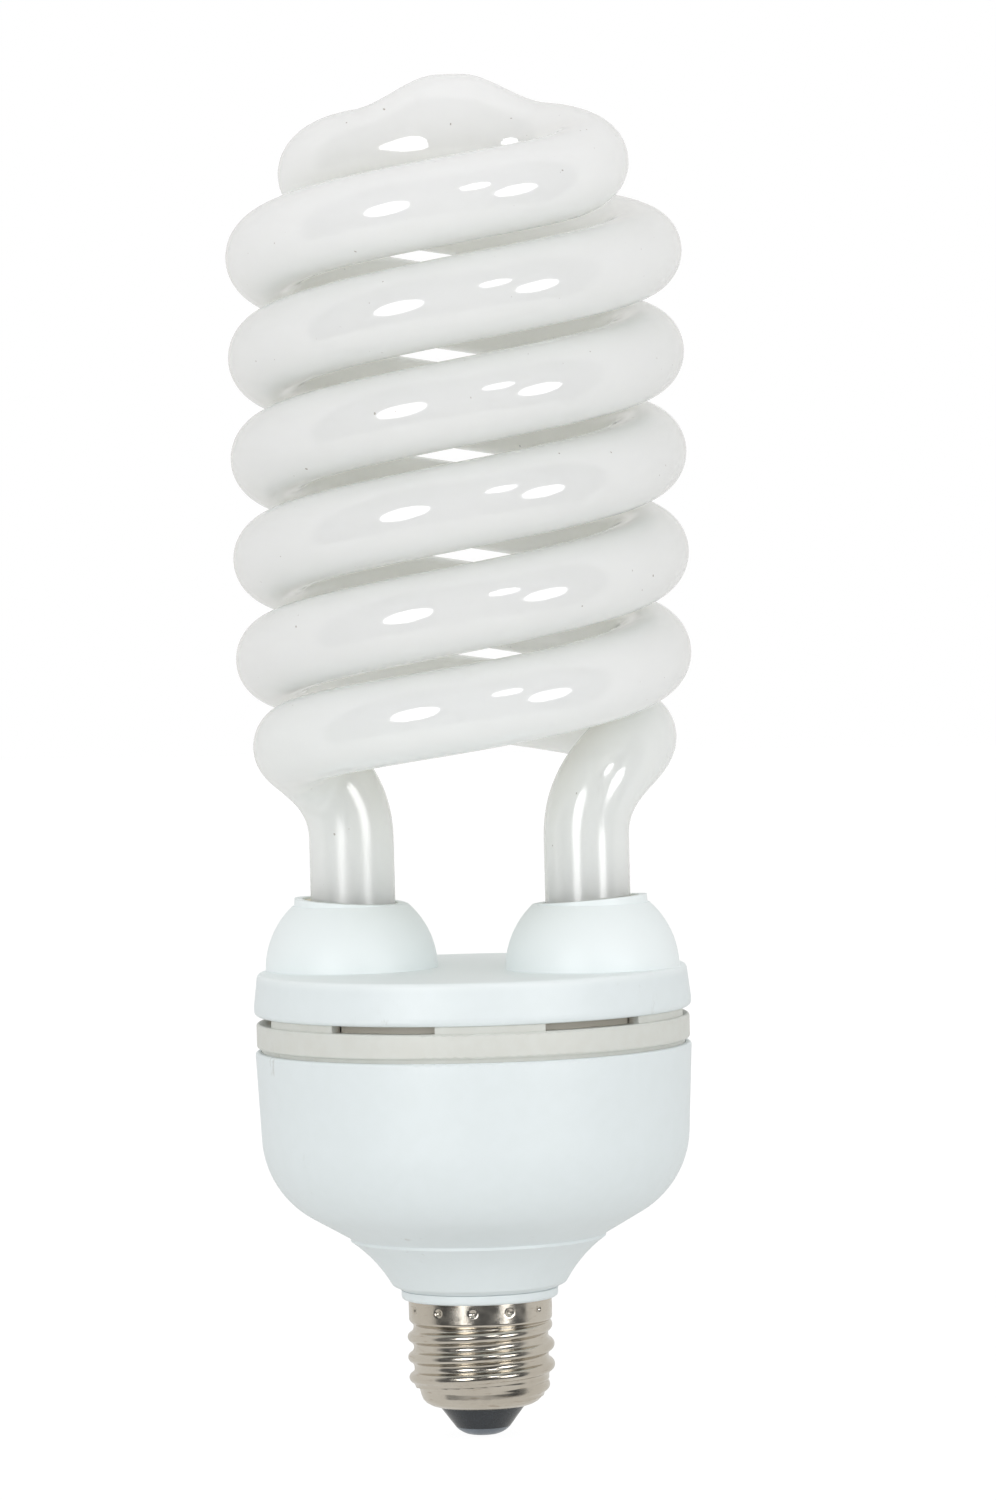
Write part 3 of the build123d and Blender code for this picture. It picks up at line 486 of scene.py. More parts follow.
def glass_recipe():
    """Sweep along the route, with pressed feet and a pump stub."""
    tree, size = new_tree(
        "glass_tube_recipe",
        Radius=TUBE_DIAMETER / 2 * MM,
        Sides=64,
        Foot_top=FOOT_TOP,
        Press_height=PINCH_LENGTH / 2 * MM,
        Press_thickness=PINCH_THICKNESS / TUBE_DIAMETER,
        Press_width=PINCH_WIDTH / TUBE_DIAMETER,
        Leg_radius=LEG_RADIUS * MM,
        Nib_radius=NIB_RADIUS * MM,
        Nib_length=NIB_LENGTH * MM,
        Crown_from=COIL_BOTTOM * MM,
        Bulb_rise=BULB_RISE * 2 / TUBE_DIAMETER,
        Bulb_swell=BULB_SWELL * 2 / TUBE_DIAMETER,
    )
    line = add(tree, "GeometryNodeMeshToCurve", {"Mesh": size["Shape"]}).outputs[0]
    ring = add(
        tree,
        "GeometryNodeCurvePrimitiveCircle",
        {"Resolution": size["Sides"], "Radius": size["Radius"]},
    ).outputs[0]
    tube = add(
        tree,
        "GeometryNodeCurveToMesh",
        {"Curve": line, "Profile Curve": ring, "Fill Caps": True},
    ).outputs[0]
    place = add(tree, "GeometryNodeInputPosition").outputs[0]
    part = add(tree, "ShaderNodeSeparateXYZ", {"Vector": place}).outputs
    at_foot = calc(tree, "LESS_THAN", part["Z"], size["Foot_top"])
    tube = add(
        tree,
        "GeometryNodeSetPosition",
        {"Geometry": tube, "Selection": at_foot, "Position": pressed_place(tree, size, part)},
    ).outputs[0]
    at_crown = calc(tree, "GREATER_THAN", part["Z"], size["Crown_from"])
    tube = add(
        tree,
        "GeometryNodeSetPosition",
        {"Geometry": tube, "Selection": at_crown, "Offset": bulb_offset(tree, size, place, part)},
    ).outputs[0]
    nib = add(
        tree,
        "GeometryNodeMeshCylinder",
        {"Vertices": 24, "Radius": size["Nib_radius"], "Depth": size["Nib_length"]},
    ).outputs["Mesh"]
    foot = (LEG_BOTTOM - PINCH_LENGTH - NIB_LENGTH / 2) * MM
    nib = add(
        tree,
        "GeometryNodeTransform",
        {"Geometry": nib, "Translation": (-LEG_RADIUS * MM, 0.0, foot)},
    ).outputs[0]
    joined = add(tree, "GeometryNodeJoinGeometry")
    tree.links.new(nib, joined.inputs[0])
    tree.links.new(tube, joined.inputs[0])
    smooth = add(tree, "GeometryNodeSetShadeSmooth", {"Geometry": joined.outputs[0]}).outputs[0]
    close_tree(tree, smooth, milky_glass)
    return tree


line = bpy.data.meshes.new("glass_route")
line.from_pydata(route, [(k, k + 1) for k in range(len(route) - 1)], [])
glass = grow("glass_tube", line, glass_recipe())
fit(glass, "milky_glass", "discharge_tube")

# %% [markdown]
# ## Smooth copies of turned and moulded parts
#
# The model's parts come as loose triangles, which would show as flat facets on a satin surface.
# A copy with its doubled points merged can be shaded smooth,
# with sharp edges kept where the faces meet at an angle.
# The large faces lead the direction of the shading, so that a flat face stays flat beside a rounded edge.

# %% Smooth copies
MERGE_WITHIN = 2e-6
SHARP_FROM = math.radians(32)


def smooth_copy(node, name, material, slot):
    """Smoothly shaded copy of a model node, with a finish."""
    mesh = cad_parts[node].data.copy()
    shape = bmesh.new()
    shape.from_mesh(mesh)
    bmesh.ops.remove_doubles(shape, verts=shape.verts, dist=MERGE_WITHIN)
    for edge in shape.edges:
        edge.smooth = len(edge.link_faces) == 2 and edge.calc_face_angle(0) < SHARP_FROM
    for face in shape.faces:
        face.smooth = True
        face.material_index = 0
    shape.to_mesh(mesh)
    shape.free()
    mesh.materials.clear()
    mesh.materials.append(material)
    draft = put(name + "_draft", mesh)
    weigh = draft.modifiers.new("large faces lead", "WEIGHTED_NORMAL")
    weigh.keep_sharp = True
    graph = bpy.context.evaluated_depsgraph_get()
    piece = put(name, bpy.data.meshes.new_from_object(draft.evaluated_get(graph)))
    bpy.data.objects.remove(draft)
    fit(piece, slot, node)
    print(name, len(piece.data.polygons), "faces")


print("smooth copies are sharp from", round(math.degrees(SHARP_FROM)), "degrees")

# %% [markdown]
# ## White plastic
#
# The housing and the cover are moulded in a cool white plastic with a satin skin.
# The mould's fine texture softens every highlight, and handling leaves faint grey scuffs.
# A stretched noise, cut off near its top, draws a few scuffs without a picture of them.

# %% Scuffed plastic
def scuffed(name, light, dark, rough, scuff):
    """Moulded plastic with a few faint scuffs."""
    material, tree, shader, place, colour = finish(name, light, dark, rough, 0.35, 0.006)
    stretched = add(tree, "ShaderNodeMapping", {"Vector": place, "Scale": (1.0, 1.0, 0.45)}).outputs[0]
    marks = add(
        tree,
        "ShaderNodeTexNoise",
        {"Vector": stretched, "Scale": 420.0, "Detail": 6.0, "Roughness": 0.62},
    ).outputs["Fac"]
    where = add(tree, "ShaderNodeTexNoise", {"Vector": place, "Scale": 55.0, "Detail": 2.0}).outputs["Fac"]
    share = calc(tree, "MULTIPLY", ramp(tree, marks, 0.60, 0.72), ramp(tree, where, 0.56, 0.70))
    share = calc(tree, "MULTIPLY", share, 0.55)
    tree.links.new(blend(tree, share, colour, (*scuff, 1.0)), shader.inputs["Base Color"])
    return material


print("scuffed plastic ready")

# %% [markdown]
# ## Tints of the plastic
#
# The cover is painted whiter above its rim, a painted light on the domes and top that the coil shades from
# above, and what lies behind the slots of the ring is painted taupe, a painted shade in that recess.
# Two more materials would leave hard borders, so a second colour is laid over a part of the first,
# by the height or by the distance from the axis.

# %% Tinted plastic
RIM_HEIGHT = 82.0
RIM_FADE = 2.0
PAINTED_LIGHT_SHARE = 0.9
SLOT_SHADE_FROM = 36.0
SLOT_SHADE_TO = 37.4


def tint(material, colour, share_at):
    """Lay a second colour over the part of the object that the share picks."""
    tree = material.node_tree
    shader = next(node for node in tree.nodes if node.type == "BSDF_PRINCIPLED")
    place = next(node for node in tree.nodes if node.type == "TEX_COORD").outputs["Object"]
    under = shader.inputs["Base Color"].links[0].from_socket
    tree.links.new(blend(tree, share_at(tree, place), under, (*colour, 1.0)), shader.inputs["Base Color"])


def painted_light_over_rim(tree, place):
    """Share that rises over the rim of the cover, where a whiter colour is painted as light on the domes and
    top.
    """
    height = add(tree, "ShaderNodeSeparateXYZ", {"Vector": place}).outputs["Z"]
    return ramp(tree, height, RIM_HEIGHT * MM, (RIM_HEIGHT + RIM_FADE) * MM, 0.0, PAINTED_LIGHT_SHARE)


def painted_shade_behind_slots(tree, place):
    """Share that rises inwards, behind the slots of the ring, where shade is painted."""
    flat = add(tree, "ShaderNodeVectorMath", {0: place, 1: (1.0, 1.0, 0.0)}, operation="MULTIPLY").outputs[0]
    reach = add(tree, "ShaderNodeVectorMath", {0: flat}, operation="LENGTH").outputs["Value"]
    return ramp(tree, reach, SLOT_SHADE_FROM * MM, SLOT_SHADE_TO * MM, 1.0, 0.0)


white_plastic = scuffed(
    "white_plastic", (0.81, 0.87, 0.885), (0.80, 0.86, 0.872), (0.40, 0.5), (0.52, 0.53, 0.5)
)
# Painted light: the cover is painted whiter above its rim, so its domes and top look lit.
tint(white_plastic, (0.90, 0.955, 0.96), painted_light_over_rim)
ring_plastic = scuffed(
    "ring_plastic", (0.71, 0.725, 0.685), (0.69, 0.70, 0.655), (0.42, 0.54), (0.45, 0.43, 0.38)
)
# Painted shade: the ring is painted taupe behind its slots, where shade falls.
tint(ring_plastic, (0.62, 0.585, 0.51), painted_shade_behind_slots)
print("white plastic and ring plastic ready")

# %% [markdown]
# ## Housing, cover and ring
#
# Three mouldings make the body: the bowl that holds the circuit, the cover with a collar for each leg,
# and a ring with slots that lets warm air out between them.
# Their shapes are already right in the model, so each is a smooth copy with its plastic.

# %% Housing, cover and ring
smooth_copy("ballast_housing", "housing", white_plastic, "white_plastic")
smooth_copy("tube_cover", "cover", white_plastic, "white_plastic")
smooth_copy("vent_ring", "castellated_ring", ring_plastic, "ring_plastic")

# %% [markdown]
# ## Cement round the legs
#
# The legs are fixed in their collars with a warm white cement that dries a little rough, with small pits.
# Only its top shows, so a fine relief from the noise is enough.

# %% Cement
cement = finish("cement", (0.80, 0.75, 0.63), (0.70, 0.64, 0.50), (0.6, 0.8), 0.8, 0.05)[0]
for side in ("left", "right"):
    smooth_copy("tube_cement_" + side, "cement_" + side, cement, "cement")

# %% [markdown]
# ## Nickel of the cap
#
# The cap is thin sheet with a bright nickel plating. It mirrors the room softly,
# with small brown stains where the plating is thin.
# Metallic is full, and the noise that draws the stains is stretched round the axis, as the rolling left them.

# %% Nickel finish
STAIN_SHARE = 0.5
STAIN_COLOUR = (0.34, 0.25, 0.17, 1.0)

cap_metal, tree, shader, place, colour = finish(
    "cap_metal", (0.64, 0.60, 0.53), (0.58, 0.535, 0.46), (0.16, 0.27), 1.5, 0.006, metallic=1.0
)
rolled = add(tree, "ShaderNodeMapping", {"Vector": place, "Scale": (1.0, 1.0, 6.0)}).outputs[0]
stain = add(tree, "ShaderNodeTexNoise", {"Vector": rolled, "Scale": 300.0, "Detail": 4.0}).outputs["Fac"]
share = ramp(tree, stain, 0.58, 0.78, 0.0, STAIN_SHARE)
colour = blend(tree, share, colour, STAIN_COLOUR)
tree.links.new(colour, shader.inputs["Base Color"])
print("nickel ready")

# %% [markdown]
# ## The plain shell
#
# The shell starts as a plain tube turned from a profile, with a wall of 0.3 mm.
# The points lie close together along the outside, because the thread will be rolled into them.
# Each point also keeps the outside radius of its row, so that both skins of the sheet can move as one.

# %% Plain shell
SHEET = 0.3
CORE_RADIUS = 12.06
BAND_RADIUS = 12.83
SHELL_SIDES = 320
ROW_STEP = 0.13
INNER_ROW_STEP = 0.45

# Radius and height of the outside, from the mouth to the top
SHELL_PROFILE = [
    (7.7, 5.2),
    (8.3, 5.25),
    (9.3, 5.55),
    (10.1, 6.0),
    (10.65, 6.6),
    (10.95, 7.4),
    (11.2, 8.4),
    (11.6, 9.2),
    (CORE_RADIUS, 9.9),
    (CORE_RADIUS, 20.0),
    (12.35, 20.35),
    (12.7, 20.7),
    (BAND_RADIUS, 21.0),
    (BAND_RADIUS, 24.6),
]


def profile_rows(profile, step):
    """The same profile with points close together."""
    rows = []
    for (r0, z0), (r1, z1) in zip(profile, profile[1:]):
        count = max(1, round(math.hypot(r1 - r0, z1 - z0) / step))
        rows += [(r0 + (r1 - r0) * k / count, z0 + (z1 - z0) * k / count) for k in range(count)]
    return rows + [profile[-1]]


def turn_rows(name, rows, sides):
    """Closed mesh turned round the axis from a ring of rows; each is radius, height and outer radius."""
    angles = [2 * math.pi * k / sides for k in range(sides)]
    points = [
        (r * math.cos(a) * MM, r * math.sin(a) * MM, z * MM) for r, z, _ in rows for a in angles
    ]
    faces = []
    for i in range(len(rows)):
        j = (i + 1) % len(rows)
        for k in range(sides):
            m = (k + 1) % sides
            faces.append((i * sides + k, i * sides + m, j * sides + m, j * sides + k))
    mesh = bpy.data.meshes.new(name)
    mesh.from_pydata(points, [], faces)
    outer = mesh.attributes.new("outer_radius", "FLOAT", "POINT")
    outer.data.foreach_set("value", [o * MM for _, _, o in rows for _ in angles])
    return mesh


outside = [(r, z, r) for r, z in profile_rows(SHELL_PROFILE, ROW_STEP)]
inside = [(r - SHEET, z, r) for r, z in reversed(profile_rows(SHELL_PROFILE, INNER_ROW_STEP))]
plain_shell = turn_rows("plain_shell", outside + inside, SHELL_SIDES)
print("plain shell", len(plain_shell.vertices), "points")

# %% [markdown]
# ## The rolled thread
#
# A die rolls the thread into the thin sheet, so the inside follows the outside.
# The same is done here: every point moves outwards by the thread's height at its place on the helix.
# A knuckle thread is two equal arcs, one round the crest and one in the root.

# %% Rolled thread
THREAD_PITCH = 3.629
THREAD_CREST = 13.15
THREAD_ROOT = CORE_RADIUS
THREAD_DEPTH = THREAD_CREST - THREAD_ROOT
THREAD_ARC = ((THREAD_PITCH / 2) ** 2 + THREAD_DEPTH**2) / (4 * THREAD_DEPTH)
THREAD_LOW = 11.2
THREAD_HIGH = 18.9
THREAD_LOW_FADE = 3.1
THREAD_HIGH_FADE = 1.9
GONE_FROM = 0.8
GONE_AT = 1.1
CREST_AT_TURN_ZERO = 12.18


def knuckle_line(tree, size, away, half):
    """Radius of the thread's outline at a distance from the crest."""
    arc = size["Arc_radius"]
    arc_square = calc(tree, "MULTIPLY", arc, arc)
    crest_dip = calc(tree, "SQRT", calc(tree, "SUBTRACT", arc_square, calc(tree, "MULTIPLY", away, away)))
    crest_line = calc(tree, "ADD", calc(tree, "SUBTRACT", size["Crest_radius"], arc), crest_dip)
    beyond = calc(tree, "SUBTRACT", half, away)
    root_dip = calc(tree, "SQRT", calc(tree, "SUBTRACT", arc_square, calc(tree, "MULTIPLY", beyond, beyond)))
    root_line = calc(tree, "SUBTRACT", calc(tree, "ADD", size["Root_radius"], arc), root_dip)
    on_crest = calc(tree, "LESS_THAN", away, calc(tree, "DIVIDE", size["Pitch"], 4.0))
    return add(tree, "ShaderNodeMix", {0: on_crest, 2: root_line, 3: crest_line}).outputs[0]


def thread_height(tree, size, height, turn, outer):
    """How far the thread stands out of the plain sheet; it sinks into the sheet at both ends."""
    lead = calc(tree, "MULTIPLY", calc(tree, "DIVIDE", turn, 2 * math.pi), size["Pitch"])
    rise = calc(tree, "SUBTRACT", height, calc(tree, "ADD", lead, size["Crest_height"]))
    half = calc(tree, "DIVIDE", size["Pitch"], 2.0)
    off = calc(tree, "WRAP", rise, half, calc(tree, "MULTIPLY", half, -1.0))
    line = knuckle_line(tree, size, calc(tree, "ABSOLUTE", off), half)
    crest = calc(tree, "SUBTRACT", height, off)
    below = calc(tree, "DIVIDE", calc(tree, "SUBTRACT", size["First_height"], crest), size["Low_fade"])
    above = calc(tree, "DIVIDE", calc(tree, "SUBTRACT", crest, size["Last_height"]), size["High_fade"])
    past = calc(tree, "MAXIMUM", below, above)
    depth = calc(tree, "SUBTRACT", size["Crest_radius"], size["Root_radius"])
    sink = calc(tree, "MULTIPLY", ramp(tree, past, 0.0, 1.0), depth)
    ridge = calc(tree, "SUBTRACT", line, sink)
    thread = calc(tree, "MAXIMUM", calc(tree, "SUBTRACT", ridge, outer), 0.0)
    return calc(tree, "MULTIPLY", thread, ramp(tree, past, GONE_FROM, GONE_AT, 1.0, 0.0))


print("thread", THREAD_PITCH, "mm pitch,", round(THREAD_ARC, 2), "mm arcs")

# %% [markdown]
# ## The punch marks
#
# Twelve round marks, pressed in with a blunt punch, fix the shell to the plastic.
# Twelve copies of a dent would need cutting into the sheet.
# A point only has to know how far away the nearest mark is,
# and the wrapped turn gives that for all twelve at once.

# %% Punch marks
PUNCH_COUNT = 12
PUNCH_TURN = 10.0
PUNCH_RADIUS = 0.85
PUNCH_DEPTH = 0.42
PUNCH_HEIGHT = 23.0


def punch_depth(tree, size, height, turn, outer):
    """How far the nearest punch mark presses a point inwards."""
    share = calc(tree, "DIVIDE", 2 * math.pi, size["Mark_count"])
    half_share = calc(tree, "DIVIDE", share, 2.0)
    from_mark = calc(tree, "SUBTRACT", turn, size["Mark_turn"])
    nearest = calc(tree, "WRAP", from_mark, half_share, calc(tree, "MULTIPLY", half_share, -1.0))
    sideways = calc(tree, "MULTIPLY", nearest, outer)
    upwards = calc(tree, "SUBTRACT", height, size["Mark_height"])
    square = calc(tree, "MULTIPLY_ADD", sideways, sideways, calc(tree, "MULTIPLY", upwards, upwards))
    distance = calc(tree, "SQRT", square)
    near = calc(tree, "SUBTRACT", 1.0, calc(tree, "DIVIDE", distance, size["Mark_radius"]), clamp=True)
    return calc(tree, "MULTIPLY", ramp(tree, near, 0.0, 0.8), size["Mark_depth"])


print(PUNCH_COUNT, "punch marks at", PUNCH_HEIGHT, "mm")

# %% [markdown]
# ## The threaded shell
#
# One recipe rolls the thread and presses the marks: each point moves along its own radius,
# outwards by the thread and inwards by the mark.
# The sheet keeps its thickness, because both skins move alike.

# %% Threaded shell
def shell_recipe():
    """Roll the thread and press the marks into a plain shell."""
    tree, size = new_tree(
        "shell_recipe",
        Pitch=THREAD_PITCH * MM,
        Crest_radius=THREAD_CREST * MM,
        Root_radius=THREAD_ROOT * MM,
        Arc_radius=THREAD_ARC * MM,
        Crest_height=CREST_AT_TURN_ZERO * MM,
        First_height=THREAD_LOW * MM,
        Last_height=THREAD_HIGH * MM,
        Low_fade=THREAD_LOW_FADE * MM,
        High_fade=THREAD_HIGH_FADE * MM,
        Mark_count=PUNCH_COUNT,
        Mark_turn=math.radians(PUNCH_TURN),
        Mark_height=PUNCH_HEIGHT * MM,
        Mark_radius=PUNCH_RADIUS * MM,
        Mark_depth=PUNCH_DEPTH * MM,
    )
    place = add(tree, "GeometryNodeInputPosition").outputs[0]
    part = add(tree, "ShaderNodeSeparateXYZ", {"Vector": place}).outputs
    outer = add(
        tree, "GeometryNodeInputNamedAttribute", {"Name": "outer_radius"}, data_type="FLOAT"
    ).outputs[0]
    turn = calc(tree, "ARCTAN2", part["Y"], part["X"])
    thread = thread_height(tree, size, part["Z"], turn, outer)
    dent = punch_depth(tree, size, part["Z"], turn, outer)
    move = calc(tree, "SUBTRACT", thread, dent)
    flat = add(tree, "ShaderNodeCombineXYZ", {"X": part["X"], "Y": part["Y"], "Z": 0.0}).outputs[0]
    outwards = add(tree, "ShaderNodeVectorMath", {0: flat}, operation="NORMALIZE").outputs[0]
    shift = add(tree, "ShaderNodeVectorMath", {0: outwards, "Scale": move}, operation="SCALE").outputs[0]
    moved = add(tree, "GeometryNodeSetPosition", {"Geometry": size["Shape"], "Offset": shift}).outputs[0]
    smooth = add(tree, "GeometryNodeSetShadeSmooth", {"Geometry": moved}).outputs[0]
    close_tree(tree, smooth, cap_metal)
    return tree


shell = grow("threaded_shell", plain_shell, shell_recipe())
fit(shell, "cap_metal", "screw_shell")

# %% [markdown]
# ## Black glass and the centre contact
#
# Melted black glass fills the foot of the shell and keeps the two contacts apart. It sets with small bubbles.
# Cells of a Voronoi pattern give them: only the very middle of each cell is pale.
# The contact is a tinned button, dulled by touch.

# %% Insulator and contact
BUBBLE_COLOUR = (0.42, 0.44, 0.45, 1.0)

black_glass, tree, shader, place, colour = finish(
    "black_glass", (0.018, 0.024, 0.031), (0.028, 0.034, 0.042), (0.12, 0.3), 1.2, 0.015
)
bubbles = add(tree, "ShaderNodeTexVoronoi", {"Vector": place, "Scale": 420.0}).outputs["Distance"]
colour = blend(tree, ramp(tree, bubbles, 0.05, 0.11, 0.7, 0.0), colour, BUBBLE_COLOUR)
tree.links.new(colour, shader.inputs["Base Color"])
contact_metal = finish(
    "contact_metal", (0.27, 0.31, 0.36), (0.20, 0.225, 0.26), (0.25, 0.4), 0.9, 0.02, metallic=1.0
)[0]
smooth_copy("cap_insulator", "insulator", black_glass, "black_glass")
smooth_copy("centre_contact", "contact", contact_metal, "contact_metal")

# %% [markdown]
# ## Finishes of the hidden circuit
#
# The circuit inside is never seen in the photograph, but each part still has the finish of the real one.
# One table is easier to compare than twelve calls. A row holds two close colours, the range of roughness,
# the size of the grain, the relief, and one for a metal.

# %% Circuit finishes
CIRCUIT_FINISHES = {
    "board": ((0.50, 0.33, 0.15), (0.40, 0.25, 0.11), (0.45, 0.6), 0.5, 0.01, 0.0),
    "capacitor_sleeve": ((0.03, 0.035, 0.05), (0.05, 0.055, 0.07), (0.2, 0.32), 3.0, 0.02, 0.0),
    "ferrite": ((0.07, 0.07, 0.075), (0.11, 0.11, 0.115), (0.5, 0.75), 0.3, 0.03, 0.0),
    "bobbin_plastic": ((0.045, 0.045, 0.045), (0.065, 0.063, 0.06), (0.35, 0.5), 0.5, 0.01, 0.0),
    "copper": ((0.66, 0.26, 0.09), (0.50, 0.17, 0.05), (0.2, 0.34), 0.35, 0.04, 1.0),
    "black_plastic": ((0.025, 0.025, 0.027), (0.04, 0.04, 0.042), (0.35, 0.55), 0.25, 0.012, 0.0),
    "film_capacitor": ((0.36, 0.055, 0.03), (0.28, 0.04, 0.022), (0.16, 0.26), 2.0, 0.02, 0.0),
    "resistor_body": ((0.26, 0.38, 0.33), (0.22, 0.32, 0.28), (0.3, 0.45), 0.7, 0.02, 0.0),
    "diode_glass": ((0.36, 0.09, 0.03), (0.22, 0.05, 0.02), (0.06, 0.14), 1.0, 0.01, 0.0),
    "thermistor_body": ((0.05, 0.12, 0.07), (0.035, 0.09, 0.05), (0.3, 0.42), 1.2, 0.02, 0.0),
    "tinned_wire": ((0.62, 0.62, 0.60), (0.50, 0.50, 0.48), (0.24, 0.4), 0.5, 0.01, 1.0),
    "wire_insulation": ((0.74, 0.72, 0.66), (0.66, 0.64, 0.58), (0.4, 0.55), 0.8, 0.01, 0.0),
}

circuit = {}
for name, (light, dark, rough, grain, relief, metallic) in CIRCUIT_FINISHES.items():
    circuit[name] = finish(name + "_finish", light, dark, rough, grain, relief, metallic)[0]
print(len(circuit), "circuit finishes")

# %% [markdown]
# ## Dressing the hidden circuit
#
# The parts inside keep the model's own shapes, so they only need their finish.
# A node that a piece above stands for is already hidden, and is left out here.

# %% Hidden circuit
for name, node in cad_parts.items():
    if node.hide_render:
        continue
    slot = node.data.materials[0].name.split(".")[0]
    node.data.materials[0] = circuit[slot]
    print(name, slot)

# %% [markdown]
# ## Studio
#
# The photograph is a cut-out on white, lit from the front by three lamps, with white walls at the sides.
# The floor and the sky are white where the camera sees them, and the floor keeps a soft shadow.
# What the shiny surfaces see is a little different: behind the camera the room is darker,
# and that soft dark patch is what makes glass and nickel read as glossy.
# An all white room would leave them as flat as paper.

# %% Sky
VIEW_TURN = 16.0
SKY_LEVEL = 0.77
SIDE_LEVEL = 0.78
ROOM_LEVEL = 0.10
ROOM_EDGE = (0.18, 0.22)
ROOM_TOP = (0.86, 0.93)
ROOM_FOOT = (-0.6, -0.5)


def sky():
    """White ground for the camera, a studio with a dark side for reflections, soft light for the rest."""
    world = bpy.data.worlds.new("studio")
    world.use_nodes = True
    tree = world.node_tree
    tree.nodes.clear()
    ray = add(tree, "ShaderNodeLightPath").outputs
    direction = add(tree, "ShaderNodeTexCoord").outputs["Generated"]
    part = add(tree, "ShaderNodeSeparateXYZ", {"Vector": direction}).outputs
    turn = math.radians(VIEW_TURN)
    toward = calc(
        tree,
        "ADD",
        calc(tree, "MULTIPLY", part["X"], math.sin(turn)),
        calc(tree, "MULTIPLY", part["Y"], -math.cos(turn)),
    )
    facing = ramp(tree, toward, *ROOM_EDGE)
    under_top = ramp(tree, part["Z"], *ROOM_TOP, 1.0, 0.0)
    over_foot = ramp(tree, part["Z"], *ROOM_FOOT)
    dark = calc(tree, "MULTIPLY", facing, calc(tree, "MULTIPLY", under_top, over_foot))
    side = (SIDE_LEVEL, SIDE_LEVEL * 0.99, SIDE_LEVEL * 0.965, 1.0)
    seen = blend(tree, dark, side, (ROOM_LEVEL, ROOM_LEVEL * 1.03, ROOM_LEVEL * 1.07, 1.0))
    soft = (SKY_LEVEL, SKY_LEVEL, SKY_LEVEL, 1.0)
    glossy = blend(tree, ray["Is Glossy Ray"], soft, seen)
    through = calc(tree, "MAXIMUM", ray["Is Camera Ray"], ray["Is Transmission Ray"])
    colour = blend(tree, through, glossy, (1.0, 1.0, 1.0, 1.0))
    background = add(tree, "ShaderNodeBackground", {"Color": colour, "Strength": 1.0})
    add(tree, "ShaderNodeOutputWorld", {"Surface": background.outputs[0]})
    bpy.context.scene.world = world


sky()
print("sky ready")

# %% [markdown]
# ## Floor
#
# The lamp stands on a pale floor that keeps its faint shadow. A plain white floor would come out grey beside
# the sky, so part of what the camera sees of it is its own glow.
# Shiny surfaces look through it, because a white floor would hide the dark side of the room from the cap.

# %% Floor
FLOOR_SIZE = 6.0
FLOOR_GLOW = 1.08
FLOOR_GLOW_SHARE = 0.88


def floor():
    """Pale floor: white to the camera with a faint shadow, and open to reflections."""
    material = bpy.data.materials.new("studio_floor")
    material.use_nodes = True
    tree = material.node_tree
    tree.nodes.clear()
    ray = add(tree, "ShaderNodeLightPath").outputs
    paint = add(tree, "ShaderNodeBsdfDiffuse", {"Color": (0.86, 0.86, 0.85, 1.0)}).outputs[0]
    glow = add(tree, "ShaderNodeEmission", {"Color": (1.0, 1.0, 1.0, 1.0), "Strength": FLOOR_GLOW}).outputs[0]
    share = calc(tree, "MULTIPLY", ray["Is Camera Ray"], FLOOR_GLOW_SHARE)
    mixed = add(tree, "ShaderNodeMixShader", {0: share, 1: paint, 2: glow}).outputs[0]
    clear = add(tree, "ShaderNodeBsdfTransparent").outputs[0]
    mixed = add(tree, "ShaderNodeMixShader", {0: ray["Is Glossy Ray"], 1: mixed, 2: clear}).outputs[0]
    add(tree, "ShaderNodeOutputMaterial", {"Surface": mixed})
    half = FLOOR_SIZE / 2
    corners = [(-half, -half, 0), (half, -half, 0), (half, half, 0), (-half, half, 0)]
    mesh = bpy.data.meshes.new("floor")
    mesh.from_pydata(corners, [], [(0, 1, 2, 3)])
    mesh.materials.append(material)
    put("floor", mesh)


floor()
print("floor", FLOOR_SIZE, "m wide")

# %% [markdown]
# ## Lamps
#
# Two kinds of light keep the brightness and the shine apart, as a photographer does with a diffuser.
# Two wide soft lights stand in front, a little above the lamp, and one stands higher behind.
# They only light matt surfaces.
# Three ovals stand round the camera, one to its left and two to its right, and only show in glossy surfaces.
# Each oval gives one small bright spot on every strand of the glass and a bright line down each leg.

# %% Lamps
AIM = Vector((0, 0, 0.13))
LAMP_DISTANCE = 1.4

# Turn from the camera and rise in degrees, width and height in metres, brightness
SOFT_LIGHTS = {
    "left_light": (-30, 10, 0.90, 0.90, 1.60),
    "right_light": (32, 12, 0.90, 0.90, 1.40),
    "back_light": (180, 35, 1.2, 1.0, 0.6),
}
SHINE_OVALS = {
    "left_oval": (-28, 5, 0.62, 0.74, 6.0),
    "right_oval": (18, 26, 0.37, 0.38, 6.0),
    "far_right_oval": (42, 2, 0.56, 0.60, 6.0),
}


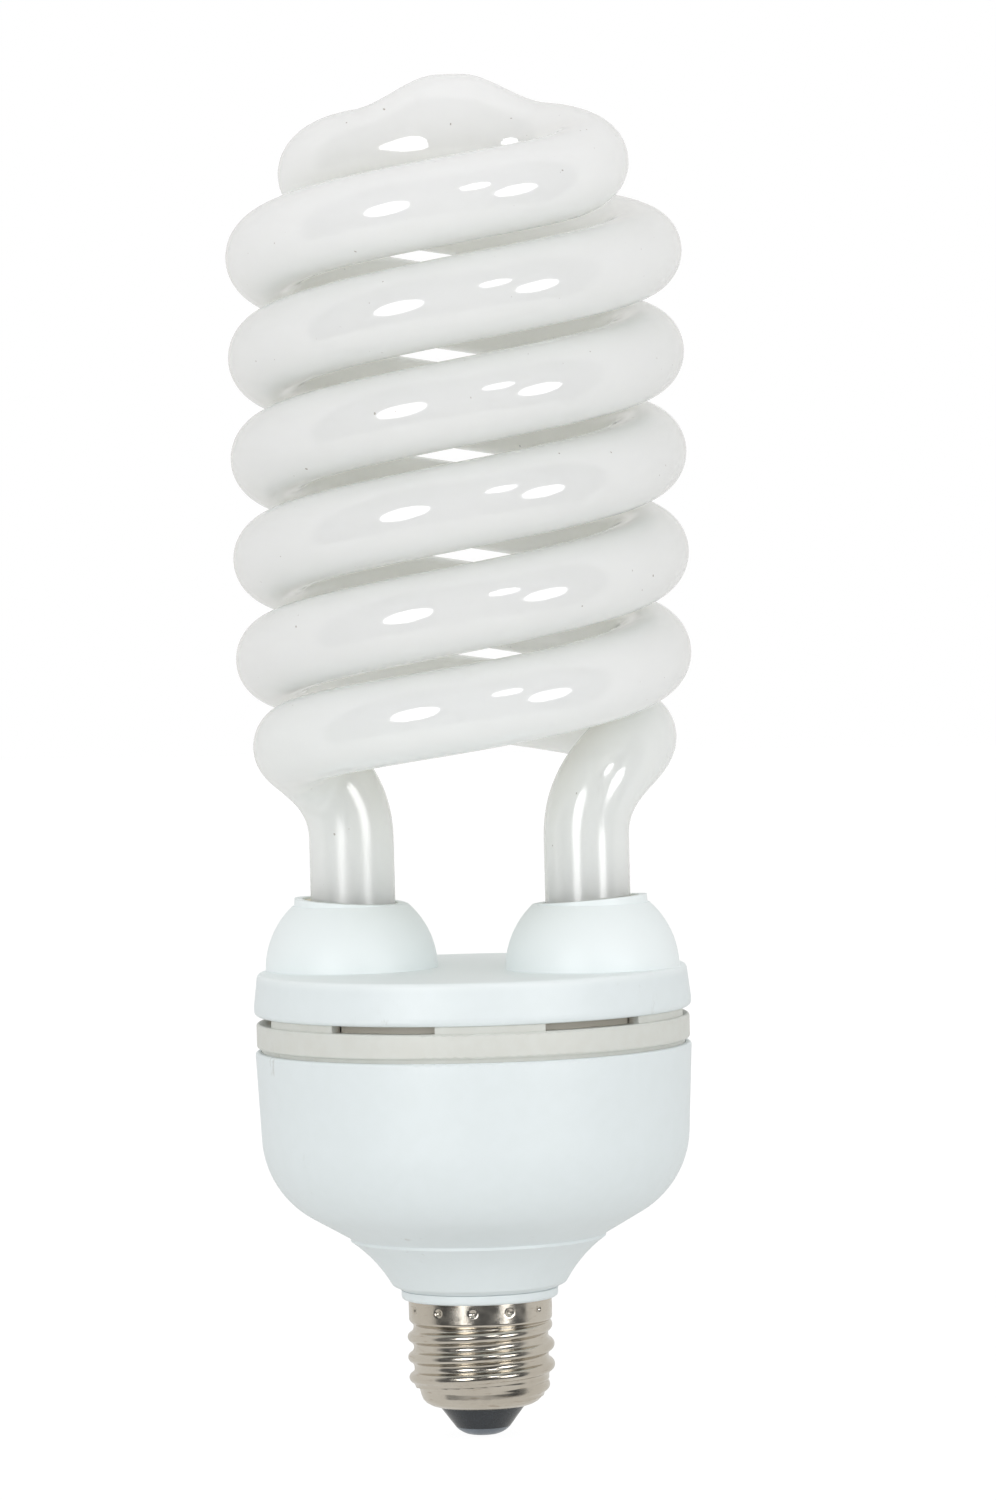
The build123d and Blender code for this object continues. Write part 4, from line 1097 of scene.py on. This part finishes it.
def oval_lamp(name, turn, rise, width, height, radiance):
    """Oval area light at a turn from the camera and a rise, aimed at the lamp."""
    light = bpy.data.lights.new(name, "AREA")
    light.shape = "ELLIPSE"
    light.size = width
    light.size_y = height
    light.energy = radiance * math.pi * width * height * math.pi / 4
    box = bpy.data.objects.new(name, light)
    bpy.context.scene.collection.objects.link(box)
    a = math.radians(VIEW_TURN + turn)
    e = math.radians(rise)
    back = Vector((math.sin(a) * math.cos(e), -math.cos(a) * math.cos(e), math.sin(e)))
    box.location = AIM + back * LAMP_DISTANCE
    box.rotation_euler = back.to_track_quat("Z", "Y").to_euler()
    return box


for name, placing in SOFT_LIGHTS.items():
    oval_lamp(name, *placing).visible_glossy = False
for name, placing in SHINE_OVALS.items():
    oval_lamp(name, *placing).visible_diffuse = False
print(len(SOFT_LIGHTS), "soft lights and", len(SHINE_OVALS), "ovals")

# %% [markdown]
# ## Camera
#
# The camera stands on the photograph's line of sight, 1.25 m away and a little above the middle.
# A long lens keeps the upright edges parallel, as a product photographer would.
# The lamp leans slightly in the picture, so the camera is rolled by the same small angle.

# %% Camera
CAMERA_DISTANCE = 1.25
CAMERA_HEIGHT = 0.171
CAMERA_ROLL = 1.452
SIDE_AIM = 0.0057
AIM_HEIGHT = 0.1226
LENS = 168.0
SENSOR = 36.0


def camera():
    """Camera on the photograph's line of sight."""
    turn = math.radians(VIEW_TURN)
    spot = Vector((math.sin(turn) * CAMERA_DISTANCE, -math.cos(turn) * CAMERA_DISTANCE, CAMERA_HEIGHT))
    target = Vector((math.cos(turn) * SIDE_AIM, math.sin(turn) * SIDE_AIM, AIM_HEIGHT))
    forward = (target - spot).normalized()
    right = forward.cross(Vector((0, 0, 1))).normalized()
    up = right.cross(forward)
    roll = math.radians(CAMERA_ROLL)
    rolled_up = up * math.cos(roll) + right * math.sin(roll)
    rolled_right = right * math.cos(roll) - up * math.sin(roll)
    lens = bpy.data.cameras.new("camera")
    lens.sensor_fit = "VERTICAL"
    lens.sensor_height = SENSOR
    lens.lens = LENS
    lens.clip_start = 0.05
    lens.clip_end = 20.0
    eye = bpy.data.objects.new("camera", lens)
    bpy.context.scene.collection.objects.link(eye)
    axes = Matrix((rolled_right, rolled_up, -forward)).transposed()
    eye.matrix_world = Matrix.Translation(spot) @ axes.to_4x4()
    bpy.context.scene.camera = eye


camera()
bpy.context.scene.view_settings.view_transform = "Standard"
print("camera", CAMERA_DISTANCE, "m away")
